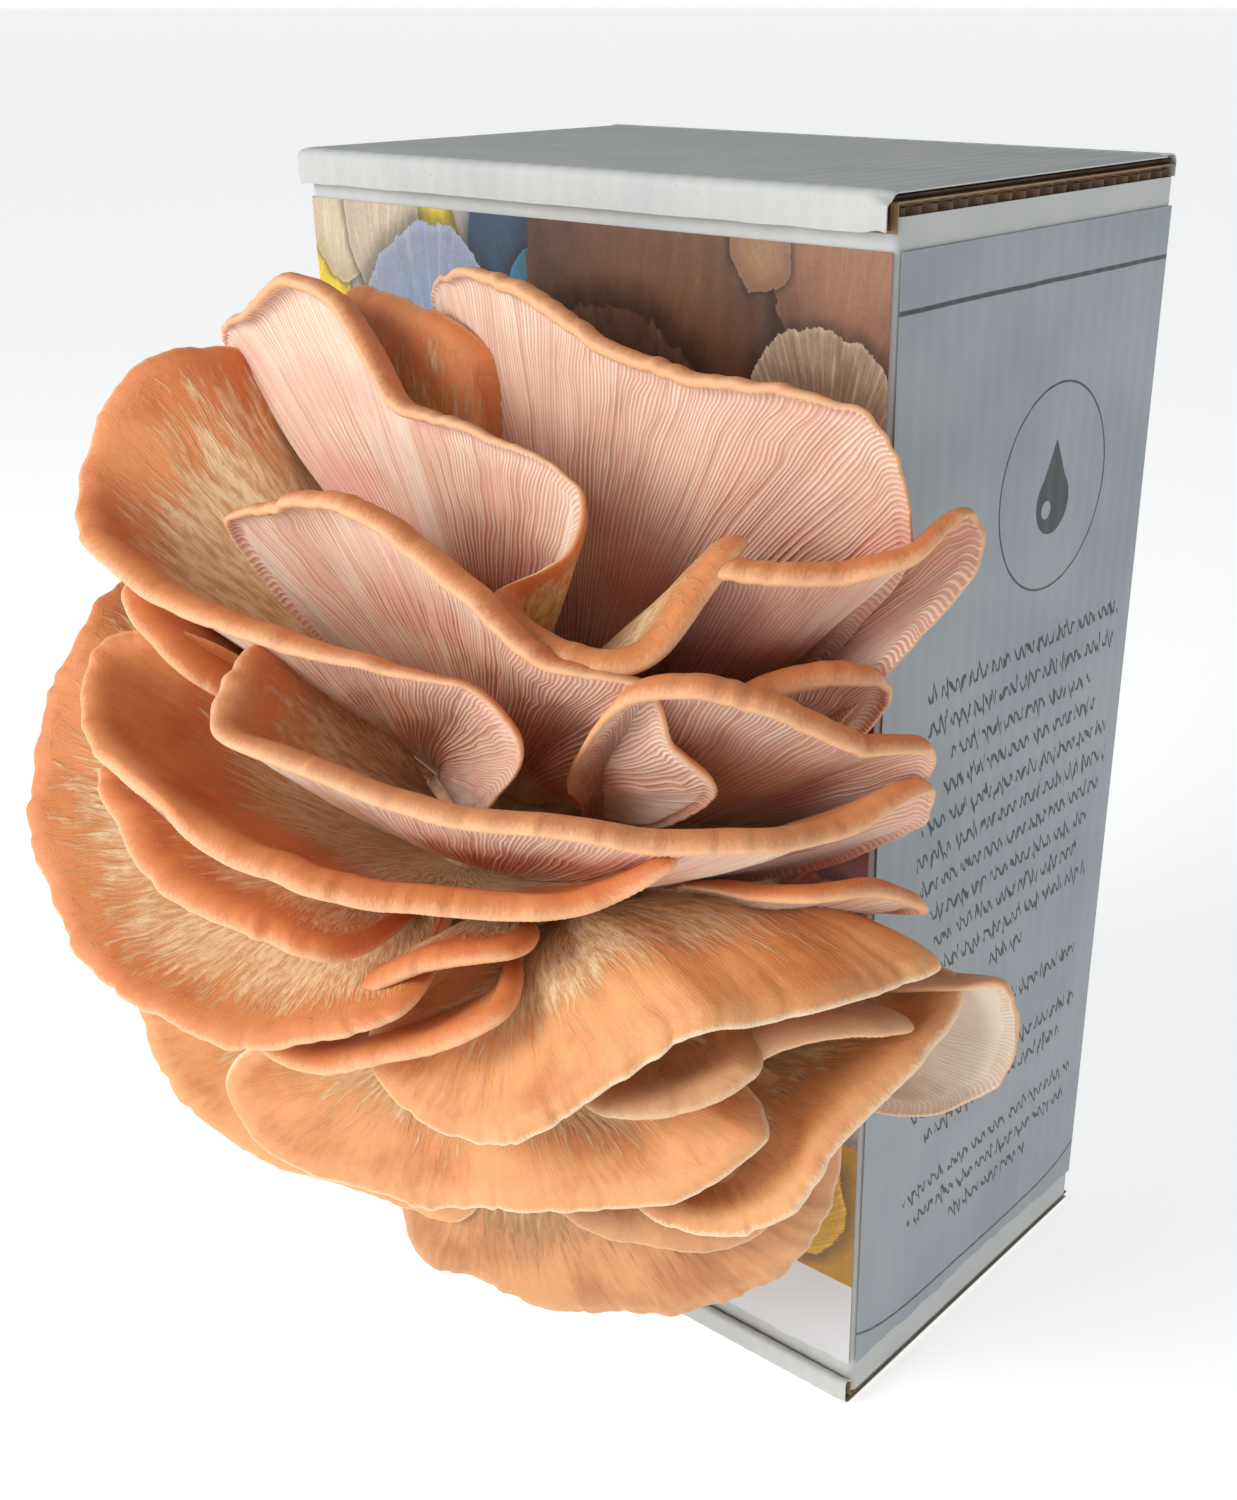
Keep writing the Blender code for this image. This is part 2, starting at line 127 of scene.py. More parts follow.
def rgb(code: str) -> Tuple[float, float, float, float]:
    """A colour for a shader, from six hexadecimal digits of its usual screen value."""
    parts = [int(code[i:i + 2], 16) / 255.0 for i in (0, 2, 4)]
    red, green, blue = (((c + 0.055) / 1.055) ** 2.4 if c > 0.04045 else c / 12.92 for c in parts)
    return red, green, blue, 1.0


def math_node(operation: str, swapped: bool = False) -> Callable[..., "Wire"]:
    """Makes a method of Wire that adds a Math node.

    Args:
        operation: The node's operation.
        swapped: Whether the method's other value comes first.

    Returns:
        The method, which takes the other value if the operation has one, and returns the result.
    """

    def method(wire: "Wire", other: Any = None) -> "Wire":
        """Adds the node."""
        pair = [wire] if other is None else ([other, wire] if swapped else [wire, other])
        return wire.graph.node("ShaderNodeMath", {"operation": operation}, dict(enumerate(pair)))

    return method


class Wire:
    """A socket's value, which Python's operators extend with Math nodes."""

    def __init__(self, graph: "Graph", socket: bpy.types.NodeSocket) -> None:
        """Keeps the graph that the socket belongs to."""
        self.graph = graph
        self.socket = socket

    __add__ = __radd__ = math_node("ADD")
    __sub__ = math_node("SUBTRACT")
    __rsub__ = math_node("SUBTRACT", swapped=True)
    __mul__ = __rmul__ = math_node("MULTIPLY")
    __truediv__ = math_node("DIVIDE")
    __pow__ = math_node("POWER")
    __abs__ = math_node("ABSOLUTE")
    below = math_node("LESS_THAN")
    most = math_node("MAXIMUM")
    sine = math_node("SINE")
    floor = math_node("FLOOR")

    def fade(self, start: float, end: float) -> "Wire":
        """Zero at start and one at end, with a soft run between them; start may be the larger."""
        ends = (start, end, 0.0, 1.0) if start < end else (end, start, 1.0, 0.0)
        return self.graph.node("ShaderNodeMapRange", {"interpolation_type": "SMOOTHSTEP"},
                               dict(enumerate((self, *ends))))


class Graph:
    """The nodes of one material."""

    def __init__(self, name: str) -> None:
        """Starts a material with an empty tree."""
        self.material = bpy.data.materials.new(name)
        self.material.use_nodes = True
        self.tree = self.material.node_tree
        self.tree.nodes.clear()

    def node(self, kind: str, settings: Optional[Dict[str, Any]] = None,
             values: Optional[Dict[Any, Any]] = None, output: Any = 0) -> Wire:
        """Adds one node.

        Args:
            kind: The node's type.
            settings: Its own settings; "stops" fills a colour ramp.
            values: Its sockets by name or number, each a Wire to link or a plain value.
            output: The output wanted.

        Returns:
            That output.
        """
        node = self.tree.nodes.new(kind)
        for key, setting in (settings or {}).items():
            if key == "stops":
                ramp = node.color_ramp.elements
                while len(ramp) < len(setting):
                    ramp.new(1.0)
                for element, (position, colour) in zip(ramp, setting):
                    element.position = position
                    element.color = colour
            else:
                setattr(node, key, setting)
        for key, value in (values or {}).items():
            if isinstance(value, Wire):
                self.tree.links.new(value.socket, node.inputs[key])
            else:
                node.inputs[key].default_value = value
        return Wire(self, node.outputs[output])

    def place(self) -> Wire:
        """The point's own place on the object, in metres."""
        return self.node("ShaderNodeTexCoord", output="Object")

    def parts(self, vector: Wire) -> List[Wire]:
        """The three numbers of a vector or colour."""
        first = self.node("ShaderNodeSeparateXYZ", {}, {0: vector})
        return [Wire(self, output) for output in first.socket.node.outputs]

    def join(self, x: Any, y: Any, z: Any = 0.0) -> Wire:
        """A vector from three numbers."""
        return self.node("ShaderNodeCombineXYZ", {}, {0: x, 1: y, 2: z})

    def stretch(self, vector: Wire, factors: Sequence[float]) -> Wire:
        """A vector multiplied along each axis."""
        return self.node("ShaderNodeVectorMath", {"operation": "MULTIPLY"},
                         {0: vector, 1: tuple(factors)})

    def noise(self, vector: Wire, scale: float, detail: float = 2.0, roughness: float = 0.5) -> Wire:
        """Cloudy values around one half."""
        return self.node("ShaderNodeTexNoise", {}, {
            "Vector": vector, "Scale": scale, "Detail": detail, "Roughness": roughness})

    def ramp(self, value: Wire, stops: Sequence[Tuple[float, str]]) -> Wire:
        """A colour picked along a value; each stop is a position and a colour code."""
        stops = [(at, rgb(code)) for at, code in stops]
        return self.node("ShaderNodeValToRGB", {"stops": stops}, {0: value})

    def mix(self, share: Any, first: Any, second: Any, blend: str = "MIX") -> Wire:
        """A colour between two colours.

        Args:
            share: How much of the second, from 0 to 1.
            first: A colour code or a Wire.
            second: A colour code or a Wire.
            blend: The node's blend type.

        Returns:
            The colour.
        """
        first, second = (rgb(c) if isinstance(c, str) else c for c in (first, second))
        return self.node("ShaderNodeMix", {"data_type": "RGBA", "blend_type": blend},
                         {0: share, 6: first, 7: second}, 2)

    def tint(self, colour: Any, factor: Any) -> Wire:
        """A colour made lighter or darker by a number around one."""
        grey = self.node("ShaderNodeCombineColor", {}, dict.fromkeys(range(3), factor))
        return self.mix(1.0, colour, grey, "MULTIPLY")

    def distance(self, across: Wire, up: Wire) -> Wire:
        """The length of a flat vector."""
        return (across * across + up * up) ** 0.5

    def ribs(self, along: Wire, pitch: float) -> Wire:
        """Waves from -1 to 1, as of the flutes under a liner."""
        return (along * (TAU / pitch)).sine()

    def bump(self, height: Wire, depth: float, strength: float = 1.0) -> Wire:
        """A relief of the given depth in metres."""
        return self.node("ShaderNodeBump", {}, {
            "Height": height, "Distance": depth, "Strength": strength})

    def surface(self, colour: Wire, roughness: Any, relief: Wire, **constants: Any) -> Material:
        """Ends the tree in a Principled shader.

        Args:
            colour: Base colour.
            roughness: Roughness, a Wire or a number.
            relief: The bumped normal.
            **constants: Other sockets' plain values, an underscore standing for a space.

        Returns:
            The material.
        """
        values = {"Base Color": colour, "Roughness": roughness, "Normal": relief}
        values.update({key.replace("_", " "): value for key, value in constants.items()})
        shader = self.node("ShaderNodeBsdfPrincipled", {}, values)
        output = self.tree.nodes.new("ShaderNodeOutputMaterial")
        self.tree.links.new(shader.socket, output.inputs["Surface"])
        return self.material


# ---------------------------------------------------------------------------- finishes


@dataclass(frozen=True)
class BoardFinish:
    """White-lined corrugated board, with the flutes just telling through the liner as a faint relief and
    faint bands of painted shade.
    """

    name: str = "white_board"
    light: str = "C7C9C6"
    dull: str = "BFC2C1"

    def material(self) -> Material:
        """Builds the material."""
        g = Graph(self.name)
        place = g.place()
        x = g.parts(place)[0]
        cloud = g.noise(place, 38.0, 4.0)
        fibres = g.noise(g.stretch(place, (1.0, 1.0, 0.35)), 1500.0, 3.0, 0.7)
        ribs = (x * (TAU / FLUTE_PITCH) + 1.5 * cloud).sine()
        colour = g.mix(cloud.fade(0.35, 0.7), self.light, self.dull)
        # the flute wave also darkens and lightens the colour a little: painted shade of the flute ribs, added
        # to their bump
        colour = g.tint(colour, 0.985 + 0.014 * ribs + 0.05 * (fibres - 0.5))
        specks = g.noise(place, 900.0, 1.0).fade(0.72, 0.78)
        colour = g.mix(0.35 * specks, colour, "9A8C7A")
        relief = g.bump(0.5 * ribs + 0.7 * fibres + cloud, 0.10 * MM)
        return g.surface(colour, 0.62 + 0.2 * (fibres - 0.5), relief)


@dataclass(frozen=True)
class KraftFinish:
    """Brown kraft paper: the flutes and the inner liner of the board."""

    name: str
    light: str = "AE8F6B"
    dark: str = "977A5B"

    def material(self) -> Material:
        """Builds the material."""
        g = Graph(self.name)
        place = g.place()
        cloud = g.noise(place, 90.0, 4.0)
        fibres = g.noise(g.stretch(place, (1.0, 1.0, 0.3)), 1300.0, 3.0, 0.7)
        colour = g.mix((0.6 * cloud + 0.4 * fibres).fade(0.3, 0.7), self.dark, self.light)
        return g.surface(colour, 0.8 + 0.2 * (fibres - 0.5), g.bump(fibres, 0.12 * MM))


@dataclass(frozen=True)
class PrintedCap:
    """One soft fan shape in the label's colour print: its centre, size, colours, and where its rays start."""

    x: float
    z: float
    wide: float
    tall: float
    inner: str
    outer: str
    ray_x: float
    ray_z: float


@dataclass(frozen=True)
class ColourPrint:
    """The front label: a generic print of overlapping mushroom caps above a plain strip."""

    name: str = "colour_print"
    strip: str = "D2D3D4"
    strip_top: float = 43.5
    gap: str = "1E1612"
    caps: Tuple[PrintedCap, ...] = tuple(PrintedCap(*row) for row in (
        (-62, 300, 60, 60, "C9BBA6", "B5A78F", -60, 240),
        (-46, 334, 19, 14, "E2C82C", "C0A024", -45, 300),
        (-105, 302, 19, 22, "E2C42A", "C8AE30", -90, 320),
        (-89, 324, 13, 16, "CDBEA2", "A99470", -94, 290),
        (-70, 330, 15, 28, "C4B49C", "AE9F8C", -74, 290),
        (-31, 336, 14, 14, "B4AFA9", "A79F98", -28, 300),
        (-14, 325, 22, 30, "2F4963", "25384F", -10, 300),
        (-9, 312, 13, 12, "58B2D2", "3C85AE", -16, 300),
        (-51, 298, 29, 29, "8FA0BF", "8C8F9E", -52, 250),
        (28, 315, 44, 58, "70492F", "3C2418", 10, 240),
        (14, 268, 40, 44, "8A6248", "4E3224", 30, 210),
        (90, 328, 26, 24, "96684C", "5E3C2C", 80, 270),
        (62, 328, 10, 9, "9C7454", "7A5640", 76, 312),
        (82, 296, 22, 19, "8E6E56", "B09880", 82, 270),
        (40, 225, 80, 36, "9A4A3C", "7E3A34", 60, 190),
        (70, 180, 52, 13, "C79AA2", "A97885", 20, 168),
        (60, 145, 66, 30, "A0523D", "B0705C", 30, 120),
        (60, 108, 74, 20, "CFC9BE", "BDB5A8", 30, 80),
        (20, 66, 130, 34, "C08C17", "A87810", 60, 20),
        (66, 70, 31, 26, "B8860F", "C99A2A", 60, 40),
    ))

    def material(self) -> Material:
        """Builds the material."""
        g = Graph(self.name)
        place = g.place()
        x, _, z = (part * (1.0 / MM) for part in g.parts(place))
        soft = g.noise(place, 28.0, 3.0) - 0.5
        fine = g.noise(place, 160.0, 4.0, 0.6) - 0.5
        grain = g.noise(place, 900.0, 3.0, 0.7) - 0.5
        colour = g.mix(g.noise(place, 18.0, 3.0).fade(0.35, 0.65), "7A5A44", "4A342A")
        for cap in self.caps:
            far_x = (x - cap.x + 16.0 * soft) * (1.0 / cap.wide)
            far_z = (z - cap.z + 16.0 * soft + 6.0 * fine) * (1.0 / cap.tall)
            spread = (x - cap.ray_x) / ((z - cap.ray_z) ** 2.0 + 60.0) ** 0.5
            fringe = g.noise(g.join(20.0 * spread + 0.3 * cap.z, 0.0), 2.4, 3.0) - 0.5
            radius = g.distance(far_x, far_z) + 0.09 * fringe
            rays = g.noise(g.join(10.0 * spread + 0.13 * cap.x, 0.5 * radius), 2.4, 5.0, 0.62)
            outwards = 0.65 * radius + 1.3 * (rays - 0.5) + 0.5 * fine
            shade = g.mix(outwards.fade(0.1, 0.9), cap.inner, cap.outer)
            shade = g.mix(0.5 * rays.fade(0.52, 0.68), shade, g.tint(shade, 1.5))
            light = 1.0 + 0.9 * (rays - 0.5) + 0.5 * grain + 0.22 * radius.fade(0.9, 0.99)
            shade = g.tint(shade, light)
            colour = g.mix(0.62 * radius.fade(1.22, 0.98), colour, self.gap)
            colour = g.mix(radius.fade(1.0, 0.985), colour, shade)
        colour = g.mix(z.below(self.strip_top), colour, self.strip)
        scratch = g.noise(g.stretch(place, (260.0, 1.0, 9.0)), 1.0, 1.0).fade(0.79, 0.81)
        colour = g.mix(0.22 * scratch, colour, "D8C8B8")
        ribs = g.ribs(x, FLUTE_PITCH / MM)
        relief = g.bump(0.4 * ribs + fine + 2.0 * soft, 0.08 * MM)
        return g.surface(colour, 0.42 + 0.2 * fine, relief)


@dataclass(frozen=True)
class SidePrint:
    """A grey side label: thin rules, a drop in a ring, and rows of scribble that stand for text."""

    name: str = "grey_print"
    paper: str = "A1A8AE"
    shade: str = "959DA4"
    ink: str = "26282C"
    top_rule: float = 318.0
    low_rule: float = 19.5
    ring: Tuple[float, float, float] = (12.3, 264.5, 27.5)
    row_pitch: float = 9.4
    first_row: float = 221.0
    middle: float = 6.5
    half_widths: Tuple[float, ...] = (
        51, 50, 38, 42, 51, 52, 50, 44, 41, 47, 9, 0, 46, 0, 48, 40, 0, 50, 47, 23)
    widest: float = 60.0

    def scribble(self, g: Graph, along: Wire, z: Wire) -> Wire:
        """Ink of the scribbled rows.

        Args:
            g: The graph to add to.
            along: Distance to the right on the label, mm.
            z: Height, mm.

        Returns:
            One where there is ink.
        """
        step = (self.first_row - z) * (1.0 / self.row_pitch) + 0.5
        row = step.floor()
        across = (row + 0.5 - step) * self.row_pitch
        count = len(self.half_widths)
        shares = [width / self.widest for width in self.half_widths]
        stops = [(k / count, (share, share, share, 1.0)) for k, share in enumerate(shares)]
        reach = g.node("ShaderNodeValToRGB", {"stops": stops}, {0: (row + 0.5) * (1.0 / count)})
        reach.socket.node.color_ramp.interpolation = "CONSTANT"
        inside = abs(along - self.middle).below(self.widest * g.parts(reach)[0])
        slant = along + 0.3 * across
        beat = 0.085 * along + 0.61 * row + 0.6 * g.noise(g.join(0.06 * along, 3.1 * row), 1.0, 1.0)
        word = (beat - beat.floor()).fade(0.13, 0.15)
        wander = g.noise(g.join(0.33 * slant, 7.3 * row), 1.0, 2.0)
        tall = g.noise(g.join(0.5 * slant, 5.7 * row + 40.0), 1.0, 1.0).fade(0.54, 0.66)
        swing = 0.8 + 1.2 * wander + 1.5 * tall
        turn = 1.75 * slant + 9.0 * wander
        quarter_turn, steepness = 1.571, 2.2
        climb = swing * (turn + quarter_turn).sine() * steepness
        away = abs(across - swing * turn.sine()) / (1.0 + climb * climb) ** 0.5
        line = away.fade(0.48, 0.30)
        return line * inside * word * row.below(count + 0.0) * (-0.5 - row).below(0.0)

    def material(self) -> Material:
        """Builds the material."""
        g = Graph(self.name)
        place = g.place()
        x, y, z = (part * (1.0 / MM) for part in g.parts(place))
        side = 1.0 - 2.0 * x.below(0.0)
        along = y * side
        cloud = g.noise(place, 24.0, 3.0)
        grain = g.noise(place, 1400.0, 2.0)
        colour = g.mix(cloud.fade(0.3, 0.7), self.paper, self.shade)
        wobble = 1.2 * (cloud - 0.5)
        top_rule = abs(z - self.top_rule + wobble).fade(0.75, 0.4)
        sag = (abs(along) * (1.0 / 66.0)) ** 5.0 * 7.0
        low_rule = abs(z - self.low_rule - sag + wobble).fade(0.6, 0.3)
        ring_x, ring_z, ring_size = self.ring
        far_x, far_z = along - ring_x, z - ring_z
        ring = abs(g.distance(far_x, far_z) - ring_size).fade(0.45, 0.2)
        round_part = g.distance(far_x, far_z + 4.0).below(8.5)
        tip = (abs(far_x) + 0.55 * (far_z + 1.0)).below(7.6) * (0.0 - far_z).below(1.0)
        drop = round_part.most(tip)
        shine = g.distance(far_x + 3.2, far_z + 5.5).below(2.45)
        ink = top_rule.most(low_rule).most(ring).most(drop * (1.0 - shine))
        ink = ink.most(self.scribble(g, along, z))
        colour = g.mix(0.92 * ink, colour, self.ink)
        ribs = g.ribs(y, FLUTE_PITCH / MM)
        relief = g.bump(0.25 * ribs + 0.3 * grain + 2.0 * cloud, 0.08 * MM)
        colour = g.tint(colour, 1.0 + 0.05 * (grain - 0.5))
        return g.surface(colour, 0.45 + 0.15 * (cloud - 0.5), relief)


@dataclass(frozen=True)
class BlockFinish:
    """Pressed straw and wood pellets, knitted together by white mycelium."""

    name: str = "mycelium_block"

    def material(self) -> Material:
        """Builds the material."""
        g = Graph(self.name)
        place = g.place()
        straw = g.node("ShaderNodeTexVoronoi", {"feature": "F1"}, {"Vector": place, "Scale": 210.0})
        fuzz = g.noise(place, 60.0, 6.0, 0.62)
        fine = g.noise(place, 700.0, 3.0)
        colour = g.ramp(straw, ((0.0, "B48E5C"), (0.45, "8A6842"), (1.0, "5A4330")))
        colour = g.mix((fuzz + 0.15 * (fine - 0.5)).fade(0.4, 0.56), colour, "DDD3BF")
        relief = g.bump(straw * (-1.0) + fuzz + 0.3 * fine, 0.9 * MM)
        return g.surface(colour, 0.85 + 0.1 * (fine - 0.5), relief)


@dataclass(frozen=True)
class FilmFinish:
    """Milky plastic film, creased, with a soft shine."""

    name: str = "bag_film"

    def material(self) -> Material:
        """Builds the material."""
        g = Graph(self.name)
        place = g.place()
        crease = g.node("ShaderNodeTexVoronoi", {"feature": "DISTANCE_TO_EDGE"}, {
            "Vector": g.stretch(place, (1.0, 0.4, 1.0)), "Scale": 60.0})
        cloud = g.noise(place, 45.0, 5.0, 0.6)
        colour = g.mix(cloud.fade(0.35, 0.65), "CFCDC4", "E6E5E0")
        relief = g.bump(crease.fade(0.0, 0.12) + cloud, 0.5 * MM)
        return g.surface(colour, 0.24 + 0.3 * (cloud - 0.4), relief)


@dataclass(frozen=True)
class ButtFinish:
    """The knotted white and cream base that the stems grow out of."""

    name: str = "cluster_butt"

    def material(self) -> Material:
        """Builds the material."""
        g = Graph(self.name)
        place = g.place()
        lumps = g.noise(place, 120.0, 5.0, 0.6)
        fine = g.noise(place, 900.0, 3.0)
        colour = g.ramp(lumps, ((0.3, "7A563C"), (0.45, "B98D68"), (0.6, "DDBE9A"), (0.75, "EBD9BE")))
        colour = g.tint(colour, 0.95 + 0.2 * (fine - 0.5))
        return g.surface(colour, 0.75 + 0.2 * (lumps - 0.5), g.bump(lumps + 0.2 * fine, 1.0 * MM),
                         Subsurface_Weight=0.1, Subsurface_Scale=2.0 * MM)


@dataclass(frozen=True)
class CapFinish:
    """Skin, rolled margin, gills and stem of a mushroom.

    Each mesh carries its fan map, in cm along the margin and up the cap, and an attribute with how much a
    point is skin, how far out it is, and how high it stands on a gill.
    """

    name: str
    fuzz: float = 0.62
    deep: str = "D67842"
    warm: str = "EA9C60"
    rim: str = "E28E56"
    # pale lip of the roll: partly the margin's own paler edge, partly a painted highlight
    edge: str = "F2BC90"
    downy: str = "FCE2B6"
    downy_dark: str = "DCA870"
    fleck: str = "FAD6AA"
    # painted shade: the skin darkens to this towards the stem, where the caps crowd together
    foot: str = "B88A60"
    gill_light: str = "FFE9D3"
    # colour down in the gill valleys: partly the flesh's own redder tone, partly painted shade
    gill_valley_shaded: str = "C26A52"
    gill_mid: str = "F0B6A0"
    gill_foot: str = "E6C6A6"

    def material(self) -> Material:
        """Builds the material."""
        g = Graph(self.name)
        place = g.place()
        fan = g.node("ShaderNodeUVMap", {"uv_map": "fan"})
        growth = g.node("ShaderNodeAttribute", {"attribute_name": "growth"}, output="Color")
        skin, out, crest = g.parts(growth)
        out = OUT_RANGE * out
        streak = g.noise(g.stretch(fan, (5.0, 0.8, 1.0)), 1.0, 4.0, 0.6)
        threads = g.noise(g.stretch(fan, (17.0, 1.6, 1.0)), 1.0, 4.0, 0.65)
        cloud = g.noise(place, 42.0, 3.0)
        mottle = g.noise(place, 170.0, 4.0, 0.6)
        grain = g.noise(place, 1600.0, 3.0, 0.6)

        top = g.mix((0.7 * cloud + 0.3 * streak).fade(0.36, 0.62), self.deep, self.warm)
        top = g.tint(top, 1.0 + 0.22 * (threads - 0.5) + 0.16 * (mottle - 0.5))
        tufts = g.noise(g.stretch(fan, (3.2, 1.5, 1.0)), 1.0, 5.0, 0.62)
        downy = g.mix((0.75 * tufts + 0.25 * threads).fade(0.38, 0.60), self.downy_dark, self.downy)
        border = out + 0.75 * (streak - 0.5) + 0.40 * (tufts - 0.5) + 0.35 * (cloud - 0.5)
        down = border.fade(self.fuzz + 0.12, self.fuzz - 0.10)
        top = g.mix(down, top, downy)
        flecks = threads.fade(0.63, 0.70) * tufts.fade(0.50, 0.62) * out.fade(1.05, 0.75)
        top = g.mix(0.75 * flecks, top, self.fleck)
        top = g.mix(0.55 * out.fade(0.93, 1.1), top, g.tint(self.rim, 0.86 + 0.28 * mottle))
        # pale lip where the roll turns under: partly the margin's own paler colour, partly a painted
        # highlight on the rounded lip
        top = g.mix(0.85 * (out + 0.10 * (threads - 0.5)).fade(1.155, 1.215), top, self.edge)
        # painted shade: the skin darkens towards the stem, where the caps crowd together
        top = g.mix(0.35 * out.fade(0.22, 0.04), top, self.foot)

        flesh = g.mix(cloud.fade(0.35, 0.65), self.gill_mid, self.gill_light)
        # the gills turn paler towards the margin: partly their own colour, partly painted light on the outer
        # gills, which the lamp reaches while the inner ones stay in the cluster's shade
        flesh = g.mix(0.5 * out.fade(0.55, 0.9), flesh, self.gill_light)
        flesh = g.mix(0.6 * out.fade(0.34, 0.12), flesh, self.gill_foot)
        # the valleys between the gills get darker and redder: partly the flesh's own tone, partly painted
        # shade in the valleys, on top of the real relief
        depth = g.mix(0.2 + 0.6 * cloud, flesh, self.gill_valley_shaded)
        gills = g.mix((crest + 0.3 * (threads - 0.5)).fade(0.2, 0.85), depth, flesh)
        gills = g.mix(out.fade(0.3, 0.12), gills, flesh)
        gills = g.tint(gills, 1.0 + 0.14 * (threads - 0.5))

        shade = g.mix((skin + 0.16 * (mottle - 0.5)).fade(0.35, 0.62), gills, top)
        rough = 0.56 + 0.16 * (mottle - 0.5) + 0.12 * down * skin
        relief = 0.3 * threads + 1.3 * down * skin * tufts + 0.3 * mottle + 0.14 * grain
        return g.surface(shade, rough, g.bump(relief, 0.6 * MM), Subsurface_Weight=0.30,
                         Subsurface_Radius=(1.0, 0.42, 0.26), Subsurface_Scale=4.0 * MM)


class CapLook(Enum):
    """The finishes that the mushrooms come in."""

    ORANGE = CapFinish("cap_orange")
    FLECKED = CapFinish("cap_flecked", fuzz=0.88)
    CREAM = CapFinish("cap_cream", fuzz=0.98)
    DOWNY = CapFinish("cap_downy", fuzz=0.84)
    SHELF = CapFinish("cap_shelf", fuzz=0.86, rim="DFA06C")
    TAN = CapFinish("cap_tan", fuzz=0.74, deep="D48346", warm="EEAA6E", rim="EBB07A", edge="FAE0BE")
    BROWN = CapFinish("cap_brown", fuzz=0.74, deep="B87848", warm="D89A66", rim="DCA878", edge="E6C29A",
                      downy="D6AC7C", downy_dark="A67648")
    PALE = CapFinish("cap_pale", fuzz=0.5, deep="D9A87C", warm="E6B68C", rim="EEBB8C", gill_mid="DCC9B4",
                     gill_light="F0E4D2", gill_valley_shaded="CDB296")


@dataclass(frozen=True)
class FloorFinish:
    """A pale painted studio floor."""

    name: str = "pale_floor"
    glow: float = 0.58

    def material(self) -> Material:
        """Builds the material."""
        g = Graph(self.name)
        place = g.place()
        cloud = g.noise(place, 3.0, 3.0)
        return g.surface(g.mix(cloud, "F2F2F1", "F5F5F4"), 0.85 + 0.05 * (cloud - 0.5),
                         g.bump(g.noise(place, 300.0, 2.0), 0.05 * MM),
                         Emission_Color=rgb("FFFFFF"), Emission_Strength=self.glow)


# ---------------------------------------------------------------------------- modelling


def fresh(name: str, add: Callable[..., Any], **settings: Any) -> bpy.types.Object:
    """Adds a primitive that is alone selected, with its place in its mesh.

    Args:
        name: The piece's name.
        add: The operator.
        **settings: The operator's settings.

    Returns:
        The new object.
    """
    bpy.ops.object.select_all(action="DESELECT")
    add(**settings)
    thing = bpy.context.object
    thing.name = thing.data.name = name
    bpy.ops.object.transform_apply(location=True, rotation=True, scale=True)
    return thing


@contextmanager
def editing() -> Iterator[None]:
    """Edit mode, with all of the active piece selected, and back to object mode."""
    bpy.ops.object.mode_set(mode="EDIT")
    bpy.ops.mesh.select_all(action="SELECT")
    yield
    bpy.ops.object.mode_set(mode="OBJECT")


def choose_faces(thing: bpy.types.Object, test: Callable[[bmesh.types.BMFace], bool]) -> None:
    """In edit mode, selects only the faces that pass a test.

    Args:
        thing: The piece.
        test: Whether a face is wanted.
    """
    bpy.ops.mesh.select_mode(type="FACE")
    bpy.ops.mesh.select_all(action="DESELECT")
    bm = bmesh.from_edit_mesh(thing.data)
    for face in bm.faces:
        face.select_set(test(face))
    bmesh.update_edit_mesh(thing.data)


def modify(thing: bpy.types.Object, kind: str, **settings: Any) -> None:
    """Adds a modifier and applies it.

    Args:
        thing: The piece.
        kind: The modifier's type.
        **settings: Its settings.
    """
    modifier = thing.modifiers.new(kind.lower(), kind)
    for key, value in settings.items():
        setattr(modifier, key, value)
    bpy.ops.object.modifier_apply(modifier=modifier.name)


def thicken(thing: bpy.types.Object, thickness: float, offset: float = -1.0) -> None:
    """Gives a sheet its thickness, inwards or to both sides, and smooths its shading."""
    modify(thing, "SOLIDIFY", thickness=thickness, offset=offset)
    bpy.ops.object.shade_smooth_by_angle(angle=SMOOTH_ANGLE)


def shaped_grid(name: str, points: Array) -> Tuple[bpy.types.Object, Array, Array]:
    """A grid moved onto a table of points.

    Args:
        name: The piece's name.
        points: Columns by rows by three.

    Returns:
        The object, and each vertex's column and row.
    """
    columns, rows = points.shape[:2]
    thing = fresh(name, bpy.ops.mesh.primitive_grid_add, x_subdivisions=columns - 1, y_subdivisions=rows - 1,
                  size=2.0)
    flat = np.empty(columns * rows * 3)
    thing.data.vertices.foreach_get("co", flat)
    place = (flat.reshape(-1, 3) + 1.0) / 2.0
    column = np.rint(place[:, 0] * (columns - 1)).astype(int)
    row = np.rint(place[:, 1] * (rows - 1)).astype(int)
    thing.data.vertices.foreach_set("co", points[column, row].ravel())
    thing.data.update()
    return thing, column, row


def swept(x: Array, section: Array) -> Array:
    """A sheet's points, from its section.

    Args:
        x: The places of its columns.
        section: Points of y and z, the same for each column or a row of them for each.

    Returns:
        Columns by rows by three.
    """
    table = np.empty((len(x), section.shape[-2], 3))
    table[..., 0] = x[:, None]
    table[..., 1:] = section
    return table


def roughen(thing: bpy.types.Object, layers: Layers) -> None:
    """Sinks a mesh's vertices below its surface by uneven depths.

    Args:
        thing: The piece.
        layers: The layers of the unevenness.
    """
    mesh = thing.data
    places, normals = (np.empty(len(mesh.vertices) * 3) for _ in range(2))
    mesh.vertices.foreach_get("co", places)
    mesh.vertex_normals.foreach_get("vector", normals)
    places = places.reshape(-1, 3)
    depth = waves(places, layers) + sum(height for _, height, _ in layers)
    places -= normals.reshape(-1, 3) * depth[:, None]
    mesh.vertices.foreach_set("co", places.ravel())
    mesh.update()


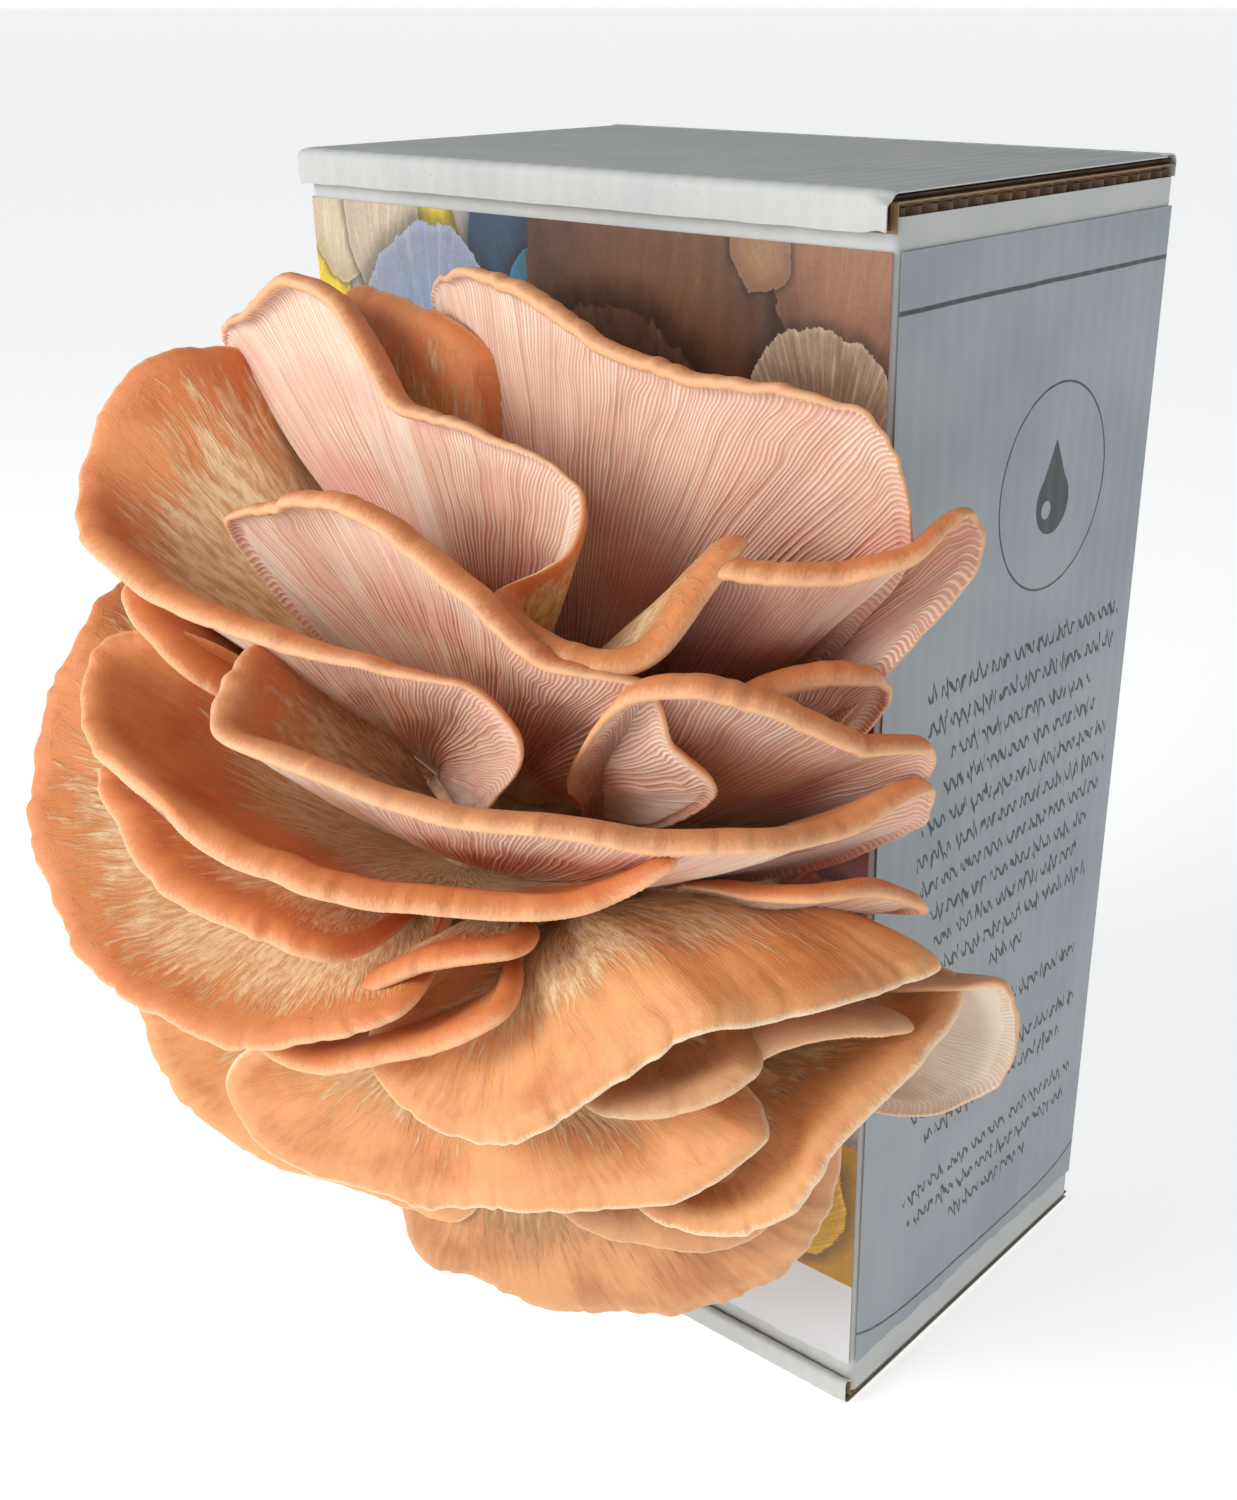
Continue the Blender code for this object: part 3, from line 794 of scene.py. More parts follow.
def settle(thing: bpy.types.Object, material: Material, body: str, slot: str, *nodes: str) -> None:
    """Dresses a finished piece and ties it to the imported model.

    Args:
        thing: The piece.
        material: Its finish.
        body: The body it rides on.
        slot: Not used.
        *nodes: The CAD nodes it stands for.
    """
    thing.data.materials.clear()
    thing.data.materials.append(material)
    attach(thing, body)
    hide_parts(*nodes)
    LOG.info("%s: %d faces", thing.name, len(thing.data.polygons))


def lumps(points: Array, seed: int) -> Array:
    """Smooth random values from -1 to 1.

    Args:
        points: Places, their last axis 1 to 3 long, in steps of the pattern.
        seed: Which pattern.

    Returns:
        A value for each place.
    """
    table = np.random.default_rng(seed).uniform(-1.0, 1.0, 4096)
    base = np.floor(points).astype(np.int64)
    part = points - base
    part = part * part * (3.0 - 2.0 * part)
    primes = np.array([73856093, 19349663, 83492791])[:points.shape[-1]]
    total = np.zeros(points.shape[:-1])
    for corner in itertools.product((0, 1), repeat=points.shape[-1]):
        weight = np.prod(np.where(np.array(corner), part, 1.0 - part), axis=-1)
        key = np.bitwise_xor.reduce((base + np.array(corner)) * primes, axis=-1)
        total += weight * table[key & 4095]
    return total


def waves(points: Array, layers: Layers, seed: int = 0) -> Array:
    """Layers of lumps added up.

    Args:
        points: Places, as for lumps.
        layers: Each layer's step, height and own seed.
        seed: What is added to each layer's own seed.

    Returns:
        A height for each place.
    """
    return sum(height * lumps(points / np.array(step), seed + own) for step, height, own in layers)


def arc(centre: Tuple[float, float], radius: float, count: int) -> List[Tuple[float, float]]:
    """A quarter turn up from the first axis of a section, without its first point.

    Args:
        centre: The middle of the turn.
        radius: Its radius; a negative one turns the first axis round.
        count: How many points the whole quarter has.

    Returns:
        The points.
    """
    return [(centre[0] + radius * math.cos(turn), centre[1] + abs(radius) * math.sin(turn))
            for turn in np.linspace(0.0, TAU / 4, count)[1:]]


def unit(vectors: Array) -> Array:
    """Vectors of length one."""
    return vectors / np.maximum(np.linalg.norm(vectors, axis=-1, keepdims=True), 1e-12)


def soften(vectors: Array, passes: int) -> Array:
    """Unit vectors smoothed along their row.

    Args:
        vectors: The vectors.
        passes: How many times each is averaged with its neighbours.

    Returns:
        The smoothed vectors.
    """
    for _ in range(passes):
        padded = np.pad(vectors, ((1, 1), (0, 0)), "edge")
        vectors = unit(padded[:-2] + 2.0 * padded[1:-1] + padded[2:])
    return vectors


def blurred(values: Array, width: float) -> Array:
    """Rows of values blurred down their columns.

    Args:
        values: A table, one row for each place.
        width: The blur's width in rows.

    Returns:
        The blurred table.
    """
    reach = int(3.0 * width) + 1
    kernel = np.exp(-0.5 * (np.arange(-reach, reach + 1) / width) ** 2)
    kernel /= kernel.sum()
    padded = np.pad(values, ((reach, reach), (0, 0)), "edge")
    return np.stack([np.convolve(column, kernel, "valid") for column in padded.T], axis=1)


def between(knots: Array, values: Array, at: Array) -> Array:
    """Points read off between given ones."""
    return np.stack([np.interp(at, knots, column) for column in values.T], axis=1)


def ease(values: Array, start: float, end: float) -> Array:
    """Zero before start, one after end, and a soft run between."""
    share = np.clip((values - start) / (end - start), 0.0, 1.0)
    return share * share * (3.0 - 2.0 * share)


def smooth_curve(points: Array) -> Array:
    """A dense centripetal Catmull-Rom curve.

    Args:
        points: The points it goes through.

    Returns:
        The curve's points, CURVE_STEPS for each stretch and the last.
    """
    ends = np.vstack([2 * points[0] - points[1], points, 2 * points[-1] - points[-2]])
    u = np.linspace(0.0, 1.0, CURVE_STEPS, endpoint=False)[:, None]
    pieces = []
    for before, start, end, after in zip(ends, ends[1:], ends[2:], ends[3:]):
        a, b, c = (np.sqrt(np.linalg.norm(q - p)) for p, q in ((before, start), (start, end), (end, after)))
        leave = b * ((start - before) / a - (end - before) / (a + b) + (end - start) / b)
        arrive = b * ((end - start) / b - (after - start) / (b + c) + (after - end) / c)
        pieces.append((2 * u**3 - 3 * u**2 + 1) * start + (u**3 - 2 * u**2 + u) * leave
                      + (3 * u**2 - 2 * u**3) * end + (u**3 - u**2) * arrive)
    return np.vstack(pieces + [points[-1:]])


# ---------------------------------------------------------------------------- carton


@dataclass
class Carton:
    """The board carton: a tube with a window, a base panel, and a lid on a crease at the back.

    Each wall is an outer liner, an inner liner, and the flutes between them.
    """

    white: Material
    kraft: Material
    flute_paper: Material
    window: Tuple[float, float, float, float] = (-74.0 * MM, 70.0 * MM, 104.0 * MM, 206.0 * MM)
    recess: float = 0.7 * MM
    flute_steps: int = 8
    crease_band: float = 2.8 * MM
    rib: float = 0.05 * MM
    rag: float = 0.12 * MM
    lip_gap: float = 1.2 * MM
    gape: float = 1.5 * MM
    gape_width: float = 9.0 * MM
    crushed: float = 0.5 * MM
    crushed_width: float = 4.0 * MM

    def __post_init__(self) -> None:
        """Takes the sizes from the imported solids."""
        low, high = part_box("carton_body")
        self.half_width, self.half_depth = high[0], high[1]
        self.bottom, self.top = low[2], high[2]
        lid_low, lid_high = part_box("carton_lid")
        self.front, self.height, self.lip = lid_low[1], lid_high[2], lid_high[2] - lid_low[2]

    def outline(self, inset: float, count: int) -> Tuple[Array, Array]:
        """Evenly spaced points round the tube, and their outward directions.

        Args:
            inset: Distance in from the outer face.
            count: How many points; the last meets the first.

        Returns:
            Two tables of x and y.
        """
        radius = max(FOLD_RADIUS - inset, 0.4 * MM)
        half = np.array([self.half_width - inset - radius, self.half_depth - inset - radius])
        sides = ((1, -1), (1, 1), (-1, 1), (-1, -1))
        corners = [(half * side, turn) for turn, side in enumerate(sides, start=-1)]
        points, ways = [], []
        for corner, turn in corners:
            for angle in np.linspace(turn, turn + 1, 7) * TAU / 4:
                ways.append((math.cos(angle), math.sin(angle)))
                points.append(corner + radius * np.array(ways[-1]))
        points, ways = (np.array(table + table[:1]) for table in (points, ways))
        run = np.concatenate([[0.0], np.cumsum(np.linalg.norm(np.diff(points, axis=0), axis=1))])
        at = np.linspace(0.0, run[-1], count)
        return between(run, points, at), unit(between(run, ways, at))

    def cut_window(self, thing: bpy.types.Object, grow: float) -> None:
        """Cuts the window out of a wall sheet.

        Args:
            thing: The sheet.
            grow: How much larger the hole is, all round.
        """
        left, right, bottom, top = self.window
        left, right, bottom, top = left - grow, right + grow, bottom - grow, top + grow

        def inside(face: bmesh.types.BMFace) -> bool:
            """Whether a face fills the window."""
            x, y, z = face.calc_center_median()
            return left < x < right and bottom < z < top and y < 0.0

        with editing():
            for place, way in (((left, 0, 0), (1, 0, 0)), ((right, 0, 0), (1, 0, 0)),
                               ((0, 0, bottom), (0, 0, 1)), ((0, 0, top), (0, 0, 1))):
                bpy.ops.mesh.select_all(action="SELECT")
                bpy.ops.mesh.bisect(plane_co=place, plane_no=way)
            choose_faces(thing, inside)
            bpy.ops.mesh.delete(type="FACE")

    def thicken_layer(self, thing: bpy.types.Object, flutes: bool) -> None:
        """Gives a layer of the board its thickness, to both sides of the flutes."""
        if flutes:
            thicken(thing, FLUTE_PAPER, 0.0)
        else:
            thicken(thing, LINER)

    def tube(self, name: str, inset: float, top: float, material: Material) -> None:
        """Builds one liner of the tube, or its flutes.

        Args:
            name: The piece's name.
            inset: Distance in from the outer face.
            top: Height of its top edge.
            material: Its finish, which tells whether it is the flutes.
        """
        flutes = material is self.flute_paper
        pitches = round(4 * (self.half_width + self.half_depth) / FLUTE_PITCH)
        count = pitches * self.flute_steps + 1
        points, ways = self.outline(inset, count)
        if flutes:
            wave = FLUTE_SWING * np.sin(np.linspace(0.0, TAU * pitches, count))
            points = points + wave[:, None] * ways
        levels = np.linspace(self.bottom, top, 12)
        table = np.empty((count, len(levels), 3))
        table[..., :2] = points[:, None]
        table[..., 2] = levels
        if flutes:
            table[:, 0, 2] += self.recess
            table[:, -1, 2] -= self.recess
        thing = shaped_grid(name, table)[0]
        with editing():
            bpy.ops.mesh.remove_doubles(threshold=0.01 * MM)
        self.cut_window(thing, self.recess if flutes else 0.0)
        self.thicken_layer(thing, flutes)
        settle(thing, material, "kit", "board", "carton_body")

    def panel_path(self, inset: float, back: float, short: float, wrapped: bool) -> Array:
        """The section of a folded panel, from the foot of its lip to the back.

        Args:
            inset: Distance in from the outer face.
            back: Where it ends, as y.
            short: How much shorter the lip is.
            wrapped: Whether the liner turns in over the edge of the lip.

        Returns:
            Points of y and of depth below the outer face.
        """
        radius = max(FOLD_RADIUS - inset, 0.3 * MM)
        centre = (self.front + inset + radius, -inset - radius)
        lip = [(self.front + inset, depth) for depth in np.linspace(-self.lip + short, centre[1], 8)]
        if wrapped:
            half = BOARD / 2 - 0.1 * MM
            lip[0] = (self.front, half - self.lip)
            lip = [(self.front + half * (1.0 + math.cos(turn)), -self.lip + half * (1.0 - math.sin(turn)))
                   for turn in np.linspace(0.0, TAU / 2, 9)[:-1]] + lip
        flat = [(y, -inset) for y in np.linspace(centre[0], back, 10)[1:]]
        return np.array(lip + arc(centre, -radius, 9) + flat)

    def panel(self, name: str, up: int, inset: float, back: float, material: Material,
              body: str, node: str) -> None:
        """Builds one liner of a folded panel, or its flutes.

        Args:
            name: The piece's name.
            up: 1 for the lid, -1 for the base.
            inset: Distance in from the outer face.
            back: Where it ends, as y.
            material: Its finish, which tells whether it is the flutes.
            body: The body it rides on.
            node: The CAD node it stands for.
        """
        flutes = material is self.flute_paper
        short = self.recess if flutes else 0.0
        wrapped = up < 0 and inset == 0.0
        path = self.panel_path(inset, back, self.lip_gap if up < 0 else short, wrapped)
        along = unit(np.gradient(path, axis=0))
        ways = np.stack([-along[:, 1], along[:, 0]], axis=1)
        pitches = 2.0 * self.half_width / FLUTE_PITCH
        x = np.linspace(-self.half_width + 1.5 * short, self.half_width - 1.5 * short,
                        round(pitches * self.flute_steps) + 1)
        wave = np.sin(TAU * x / FLUTE_PITCH)
        if flutes:
            height = FLUTE_SWING * wave
        else:
            height = self.rib * (wave - 1.0) if inset == 0.0 else np.zeros(len(x))
        table = swept(x, path + height[:, None, None] * ways)
        table[..., 2] = self.height + table[..., 2] if up > 0 else -table[..., 2]
        if inset == 0.0:
            rag = lumps(x[:, None] / (9.0 * MM), 5 + up)
            table[:, 0, 2] += (0.0 if wrapped else self.rag) * (1.0 + rag)
            if up > 0:
                gape = ease(x, self.half_width - self.gape_width, self.half_width)[:, None]
                gape = gape * ease(table[..., 2] - self.height, -1.0 * MM, -4.0 * MM)
                table[..., 1] -= self.gape * gape * (1.0 + 0.2 * rag[:, None])
                table[..., 2] += 1.0 * MM * gape * (table[..., 1] < self.front + BOARD)
            soft = ease(np.abs(x), self.half_width - self.crushed_width, self.half_width)
            table[..., 2] -= up * (self.crushed * soft * soft)[:, None]
        thing = shaped_grid(name, table if up > 0 else table[::-1])[0]
        self.thicken_layer(thing, flutes)
        settle(thing, material, body, "board", node)

    def crease(self) -> None:
        """The outer liner over the crease at the back of the lid."""
        radius = FOLD_RADIUS
        centre = (self.half_depth - radius, self.height - radius)
        foot = self.height - BOARD - self.crease_band
        path = [(self.half_depth, z) for z in np.linspace(foot, centre[1], 8)] + arc(centre, radius, 14)
        path += [(y, self.height) for y in np.linspace(centre[0], centre[0] - self.crease_band, 5)[1:]]
        x = np.linspace(self.half_width, -self.half_width, 60)
        thing = shaped_grid("lid_crease", swept(x, np.array(path)))[0]
        thicken(thing, LINER)
        thing.data.materials.append(self.white)
        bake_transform(thing)
        LOG.info("%s: %d faces", thing.name, len(thing.data.polygons))

    def build(self) -> None:
        """Builds every layer of the carton."""
        middle, inner = BOARD / 2, BOARD - LINER
        fold = self.half_depth - FOLD_RADIUS - self.crease_band
        outer_top = self.height - BOARD - self.crease_band
        self.tube("body_outer_liner", 0.0, outer_top, self.white)
        self.tube("body_inner_liner", inner, self.top, self.kraft)
        self.tube("body_flutes", middle, self.top, self.flute_paper)
        for label, up, body, back in (("lid", 1, "lid", fold), ("base", -1, "kit", self.half_depth)):
            for layer, inset, end, material in (
                    ("_outer_liner", 0.0, back, self.white),
                    ("_inner_liner", inner, self.half_depth, self.kraft),
                    ("_flutes", middle, self.half_depth - self.recess, self.flute_paper)):
                self.panel(label + layer, up, inset, end, material, body, "carton_" + label)
        self.crease()


# ---------------------------------------------------------------------------- labels


@dataclass
class Label:
    """A paper label stuck on one face of the carton."""

    node: str
    material: Material
    slot: str
    seed: int
    rag: float = 2.6 * MM
    tuck: float = 1.2 * MM
    paper: float = 0.14 * MM
    rib: float = 0.04 * MM
    wrinkle: float = 0.05 * MM
    columns: int = 181
    rows: int = 49

    def build(self, carton: Carton) -> None:
        """Builds the sheet where its solid is, with uneven edges and the flutes telling through.

        Args:
            carton: The carton, which cuts its window through the front label too.
        """
        low, high = (np.array(corner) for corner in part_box(self.node))
        front = high[1] < 0.0
        right = not front and high[0] > 0.0
        start, end = (low[0], high[0]) if front else ((low[1], high[1]) if right else (high[1], low[1]))
        along = np.linspace(start, end, self.columns)
        share = np.linspace(0.0, 1.0, self.rows)
        wave = waves(along[:, None], ((26.0 * MM, 1.0, 0), (5.0 * MM, 0.35, 10)), self.seed)
        bottom = low[2] + self.tuck - self.rag * (0.4 + 0.6 * wave)
        table = np.empty((len(along), len(share), 3))
        height = bottom[:, None] + (high[2] - bottom[:, None]) * share[None]
        flute = self.rib * (np.sin(TAU * along / FLUTE_PITCH) - 1.0)
        flat = np.stack([np.broadcast_to(along[:, None], height.shape), height], axis=-1)
        level = self.wrinkle * lumps(flat / (30.0 * MM), self.seed + 20)
        sink = flute[:, None] + level - self.wrinkle
        if front:
            table[..., 0], table[..., 1] = along[:, None], low[1] - sink
        else:
            table[..., 0] = high[0] + sink if right else low[0] - sink
            table[..., 1] = along[:, None]
        table[..., 2] = height
        thing = shaped_grid(self.node + "_paper", table)[0]
        if front:
            carton.cut_window(thing, 0.0)
        thicken(thing, self.paper)
        settle(thing, self.material, "kit", self.slot, self.node)


# ---------------------------------------------------------------------------- contents


@dataclass
class Contents:
    """The growing block, the folded top of its bag, and the butt in the window."""

    block: Material
    film: Material
    butt: Material
    corner: float = 11.0 * MM
    voxel: float = 2.5 * MM
    film_thickness: float = 0.12 * MM
    butt_centre: Point = (3.0 * MM, -84.0 * MM, 160.0 * MM)
    butt_radii: Point = (49.0 * MM, 39.0 * MM, 45.0 * MM)
    butt_back: float = -57.6 * MM

    def build_block(self) -> None:
        """A pressed block with soft corners and a lumpy skin."""
        low, high = (np.array(corner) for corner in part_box("growing_block"))
        thing = fresh("block_of_mycelium", bpy.ops.mesh.primitive_cube_add, size=1.0,
                      location=tuple((low + high) / 2), scale=tuple(high - low))
        modify(thing, "BEVEL", width=self.corner, segments=5)
        modify(thing, "REMESH", mode="VOXEL", voxel_size=self.voxel)
        roughen(thing, ((17.0 * MM, 0.9 * MM, 31), (4.0 * MM, 0.3 * MM, 32)))
        bpy.ops.object.shade_smooth()
        settle(thing, self.block, "kit", "block", "growing_block")

    def build_bag_top(self) -> None:
        """Film gathered over the block and folded to and fro."""
        low, high = (np.array(corner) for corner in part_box("bag_top"))
        folds = np.array([
            (-40, 0.5), (-20, 2.6), (12, 3.2), (34, 4.2), (38.5, 6.2), (30, 8.0), (0, 7.4),
            (-28, 8.2), (-37, 9.8), (-30, 11.8), (-6, 11.0), (18, 12.0), (30, 11.4)]) * MM
        path = smooth_curve(np.column_stack([folds, np.zeros(len(folds))]))[::3, :2]
        x = np.linspace(low[0] + 1.0 * MM, high[0] - 1.0 * MM, 120)
        table = swept(x, path)
        table[..., 2] += low[2]
        crumple = waves(table, ((9.0 * MM, 0.8 * MM, 41), (3.0 * MM, 0.35 * MM, 42)))
        table[..., 2] = np.clip(table[..., 2] + crumple, low[2] + 0.1 * MM, high[2] - 0.3 * MM)
        table[..., 1] += 1.6 * MM * lumps(table[..., :1] / (22.0 * MM), 43)
        thing = shaped_grid("folded_film", table)[0]
        modify(thing, "SOLIDIFY", thickness=self.film_thickness, offset=0.0)
        bpy.ops.object.shade_smooth()
        settle(thing, self.film, "kit", "film", "bag_top")

    def build_butt(self) -> None:
        """A lumpy knot of fused stems, cut off behind the window."""
        thing = fresh("fused_butt", bpy.ops.mesh.primitive_ico_sphere_add, subdivisions=6, radius=1.0,
                      location=self.butt_centre, scale=self.butt_radii)
        roughen(thing, ((11.0 * MM, 1.5 * MM, 51), (3.5 * MM, 0.7 * MM, 52)))
        with editing():
            bpy.ops.mesh.bisect(plane_co=(0.0, self.butt_back, 0.0), plane_no=(0.0, 1.0, 0.0),
                                use_fill=True, clear_outer=True)
        bpy.ops.object.shade_smooth()
        settle(thing, self.butt, "kit", "mushroom", "cluster_butt")

    def build(self) -> None:
        """Builds all three."""
        self.build_block()
        self.build_bag_top()
        self.build_butt()


# ---------------------------------------------------------------------------- mushrooms


@dataclass
class Mushroom:
    """One fan-shaped cap on its stem: smooth skin above, margin rolled in by a varying amount, gills below.

    The margin's points, and the foot, are (x, out, z) in mm, out being the distance in front of the carton.
    Seen on the cap's upper side with the foot below, the margin runs from left to right. The roll has one
    digit for each of its points, from 0 for a thin flat edge to 9 for a full roll. Its turn, in radians, and
    its length are given for a thin edge, each with what a full roll adds.
    """

    name: str
    look: CapLook
    roll: str
    foot: Point
    margin: Tuple[Point, ...]
    bulge: float = 0.0
    gill_pitch: float = 1.3 * MM
    gill_depth: float = 1.0 * MM
    rows: int = 19
    roll_rows: int = 8
    columns_per_gill: int = 3
    overhang: float = 4.6 * MM
    turn: Tuple[float, float] = (0.4, 1.65)
    roll_length: Tuple[float, float] = (3.2 * MM, 5.6 * MM)
    row_spacing: float = 1.2

    def to_frame(self, points: Sequence[Point]) -> Array:
        """Table points in the model's frame, in metres."""
        table = np.array(points, float) * MM
        return np.stack([table[:, 0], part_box("carton_body")[0][1] - table[:, 1], table[:, 2]], axis=1)

    def shoulder(self, foot: Array, end: Array, inner: Array) -> Array:
        """A point on the cap's side, between the end of its margin and its stem.

        Args:
            foot: Where the stem starts.
            end: The end of the margin.
            inner: The margin's next point.

        Returns:
            The point.
        """
        reach = np.linalg.norm(end - foot)
        side = unit(end - foot)
        away = end - inner
        away = unit(away - side * (away @ side))
        return foot + SHOULDER_REACH * reach * unit(side + SHOULDER_SPREAD * away)

    def draw_margin(self, foot: Array) -> Array:
        """Draws the margin and sets what follows it column by column.

        Args:
            foot: Where the stem starts.

        Returns:
            The margin; each column's share of the way along it is kept in at.
        """
        margin = self.to_frame(self.margin)
        sides = self.shoulder(foot, margin[0], margin[1]), self.shoulder(foot, margin[-1], margin[-2])
        rim = smooth_curve(np.vstack([sides[0], margin, sides[1]]))
        out = unit(rim - foot)
        turned = np.linalg.norm(np.diff(out, axis=0), axis=1)
        stepped = np.linalg.norm(np.diff(rim, axis=0), axis=1)
        run = np.concatenate([[0.0], np.cumsum(turned / turned.sum() + EVENNESS * stepped / stepped.sum())])
        tau = run / run[-1]
        knots = np.linspace(0.0, 1.0, len(margin) + EXTRA_COLUMNS)
        coarse = between(tau, rim, knots)
        self.coarse_out = unit(coarse - foot)
        normal = soften(unit(np.cross(np.gradient(self.coarse_out, axis=0), self.coarse_out)), 2)
        ahead = soften(unit(np.cross(normal, soften(unit(np.gradient(coarse, axis=0)), 1))), 1)
        self.span = coarse[-1] - coarse[0]

        gills = max(12, round(stepped.sum() / self.gill_pitch / 4)) * 4
        columns = self.columns_per_gill * gills + 1
        share = np.concatenate([[0.0], np.cumsum(turned / turned.sum() + 1.6 * stepped / stepped.sum())])
        self.at = np.interp(np.linspace(0.0, share[-1], columns), share, tau)
        width = 0.4 * columns / len(knots)
        self.normal = unit(blurred(between(knots, normal, self.at), width))
        self.ahead = unit(blurred(between(knots, ahead, self.at), width))
        digits = np.array([0] + [int(digit) for digit in self.roll] + [0]) / 9.0
        weight = np.interp(self.at, tau[::CURVE_STEPS], digits)
        self.weight = blurred(weight[:, None], 0.35 * width)[:, 0]
        rim = between(tau, rim, self.at)
        self.length = np.concatenate([[0.0], np.cumsum(np.linalg.norm(np.diff(rim, axis=0), axis=1))])
        self.side = np.abs(np.linspace(-1.0, 1.0, columns))[:, None]
        return rim

    def draw_sheet(self) -> None:
        """Draws the middle sheet: a fan of curves from a narrow foot to the margin."""
        foot = self.to_frame([self.foot])[0]
        self.seed = sum(ord(letter) * (place + 3) for place, letter in enumerate(self.name))
        rim = self.draw_margin(foot)
        middle = unit(self.coarse_out.mean(axis=0))
        across = unit(self.span - middle * (self.span @ middle))
        flat = unit(np.cross(across, middle))
        out = unit(rim - foot)
        path = self.length[:, None] + PATTERN_START
        ends = ease(1.0 - self.side[:, 0], 0.0, 0.15)
        self.draw_roll(path, np.sqrt(1.0 - self.side**6))
        scallop = waves(path, SCALLOPS, self.seed) * ends
        rim = rim + out * (scallop + self.overhang * self.fade[:, 0] - self.extent)[:, None]
        reach = np.linalg.norm(rim - foot, axis=1, keepdims=True)
        start = foot + STEM_WIDTH * (self.at[:, None] - 0.5) * across
        lift = self.bulge * reach * self.normal
        first = start + reach / 3.0 * unit(middle + out) + lift
        second = rim - reach / 3.0 * out + lift
        self.along = 1.0 - (1.0 - np.linspace(0.0, 1.0, self.rows)) ** self.row_spacing
        s = self.along[None, :, None]
        sheet = ((1 - s)**3 * start[:, None] + 3 * s * (1 - s)**2 * first[:, None]
                 + 3 * s**2 * (1 - s) * second[:, None] + s**3 * rim[:, None])
        blend = np.clip(s / STEM_LENGTH, 0.0, 1.0)
        up = unit((1 - blend) * flat + blend * self.normal[:, None])
        self.course = unit(np.gradient(sheet, axis=1))
        self.up = unit(up - (up * self.course).sum(axis=2, keepdims=True) * self.course)
        where = np.stack(np.broadcast_arrays(path, PATTERN_HEIGHT * self.along[None]), axis=-1)
        free = ease(self.along, 0.25, 0.9)[None] * ends[:, None]
        ripple = waves(where, RIPPLES, self.seed) * free
        sway = waves(where, SWAYS, self.seed) * self.gill_pitch * free * self.along
        sideways = unit(np.gradient(sheet, axis=0))
        self.sheet = sheet + self.up * ripple[..., None] + sideways * sway[..., None]
        self.reach = float(reach.mean())

    def draw_roll(self, path: Array, fade: Array) -> None:
        """Draws the section of the rolled margin for every column: its turn, and its way out and down.

        Args:
            path: Each column's place in the patterns along the margin.
            fade: How much of the margin each column has, from 1 to 0 at the ends.
        """
        self.fade = fade
        weight = self.weight[:, None]
        u = np.linspace(0.0, 1.0, self.roll_rows + 1)[None]
        self.angle = (self.turn[0] + self.turn[1] * weight) * (0.2 * u + 0.8 * u * u)
        step = (self.roll_length[0] + self.roll_length[1] * weight) * fade / self.roll_rows
        middle = (self.angle[:, 1:] + self.angle[:, :-1]) / 2.0
        pad = ((0, 0), (1, 0))
        self.forward = np.pad(np.cumsum(np.cos(middle) * step, axis=1), pad)
        self.down = np.pad(np.cumsum(np.sin(middle) * step, axis=1), pad)
        thin = 1.0 - (0.62 - 0.5 * weight) * u
        self.over = CAP_TOP * thin * fade * (1.0 + waves(path, SWELLS, self.seed)[:, None] * u)
        self.below = CAP_UNDER * thin * fade
        self.extent = (self.forward + self.over * np.sin(self.angle)).max(axis=1)

    def gill_heights(self) -> Tuple[Array, Array]:
        """Draws the gills: long ones run down the stem, and shorter ones start where there is room.

        Returns:
            How high each point of the under side stands between valley and gill edge, and how deep
            the valleys are.
        """
        count = self.columns_per_gill
        columns = len(self.sheet)
        column = np.arange(columns)
        step = np.linalg.norm(np.gradient(self.sheet, axis=0), axis=2) * count
        ridge = np.where(column % count == 0, 1.0, 0.3)
        rank = (column + count // 2) // count
        random = np.random.default_rng(self.seed)
        late = random.uniform(0.75, 1.3, rank.max() + 1)[rank][:, None]
        full = np.where(rank % 4 == 0, 4.0, np.where(rank % 2 == 0, 2.0, 1.0))[:, None]
        room = ease(step * full * late, *GILL_ROOM)
        tall = random.uniform(0.7, 1.0, rank.max() + 1)[rank][:, None]
        height = ridge[:, None] * room * tall
        spacing = np.where(step > NARROW, step, np.where(2 * step > NARROW, 2 * step, 4 * step))
        depth = np.minimum(self.gill_depth, 0.6 * spacing) * ease(self.along, 0.04, 0.3)[None]
        return height, blurred(depth, 6.0)

    def loft(self) -> Tuple[Array, Array]:
        """Draws the skin: down the columns over the top, round the roll and back under.

        Returns:
            Points, and for each how much it is skin, how far out it is, and how high on a gill.
        """
        along = self.along[None, :]
        edge = np.sqrt(1.0 - self.side ** (2.0 + 8.0 * np.clip(1.3 * along, 0.0, 1.0)))
        crest, depth = self.gill_heights()
        top = self.sheet + self.up * ((CAP_TOP + STEM_TOP * (1 - along)**2) * edge)[..., None]
        low = CAP_UNDER + STEM_UNDER * (1 - along)**1.6 - depth * (1.0 - crest)
        under = self.sheet - self.up * (low * edge)[..., None]

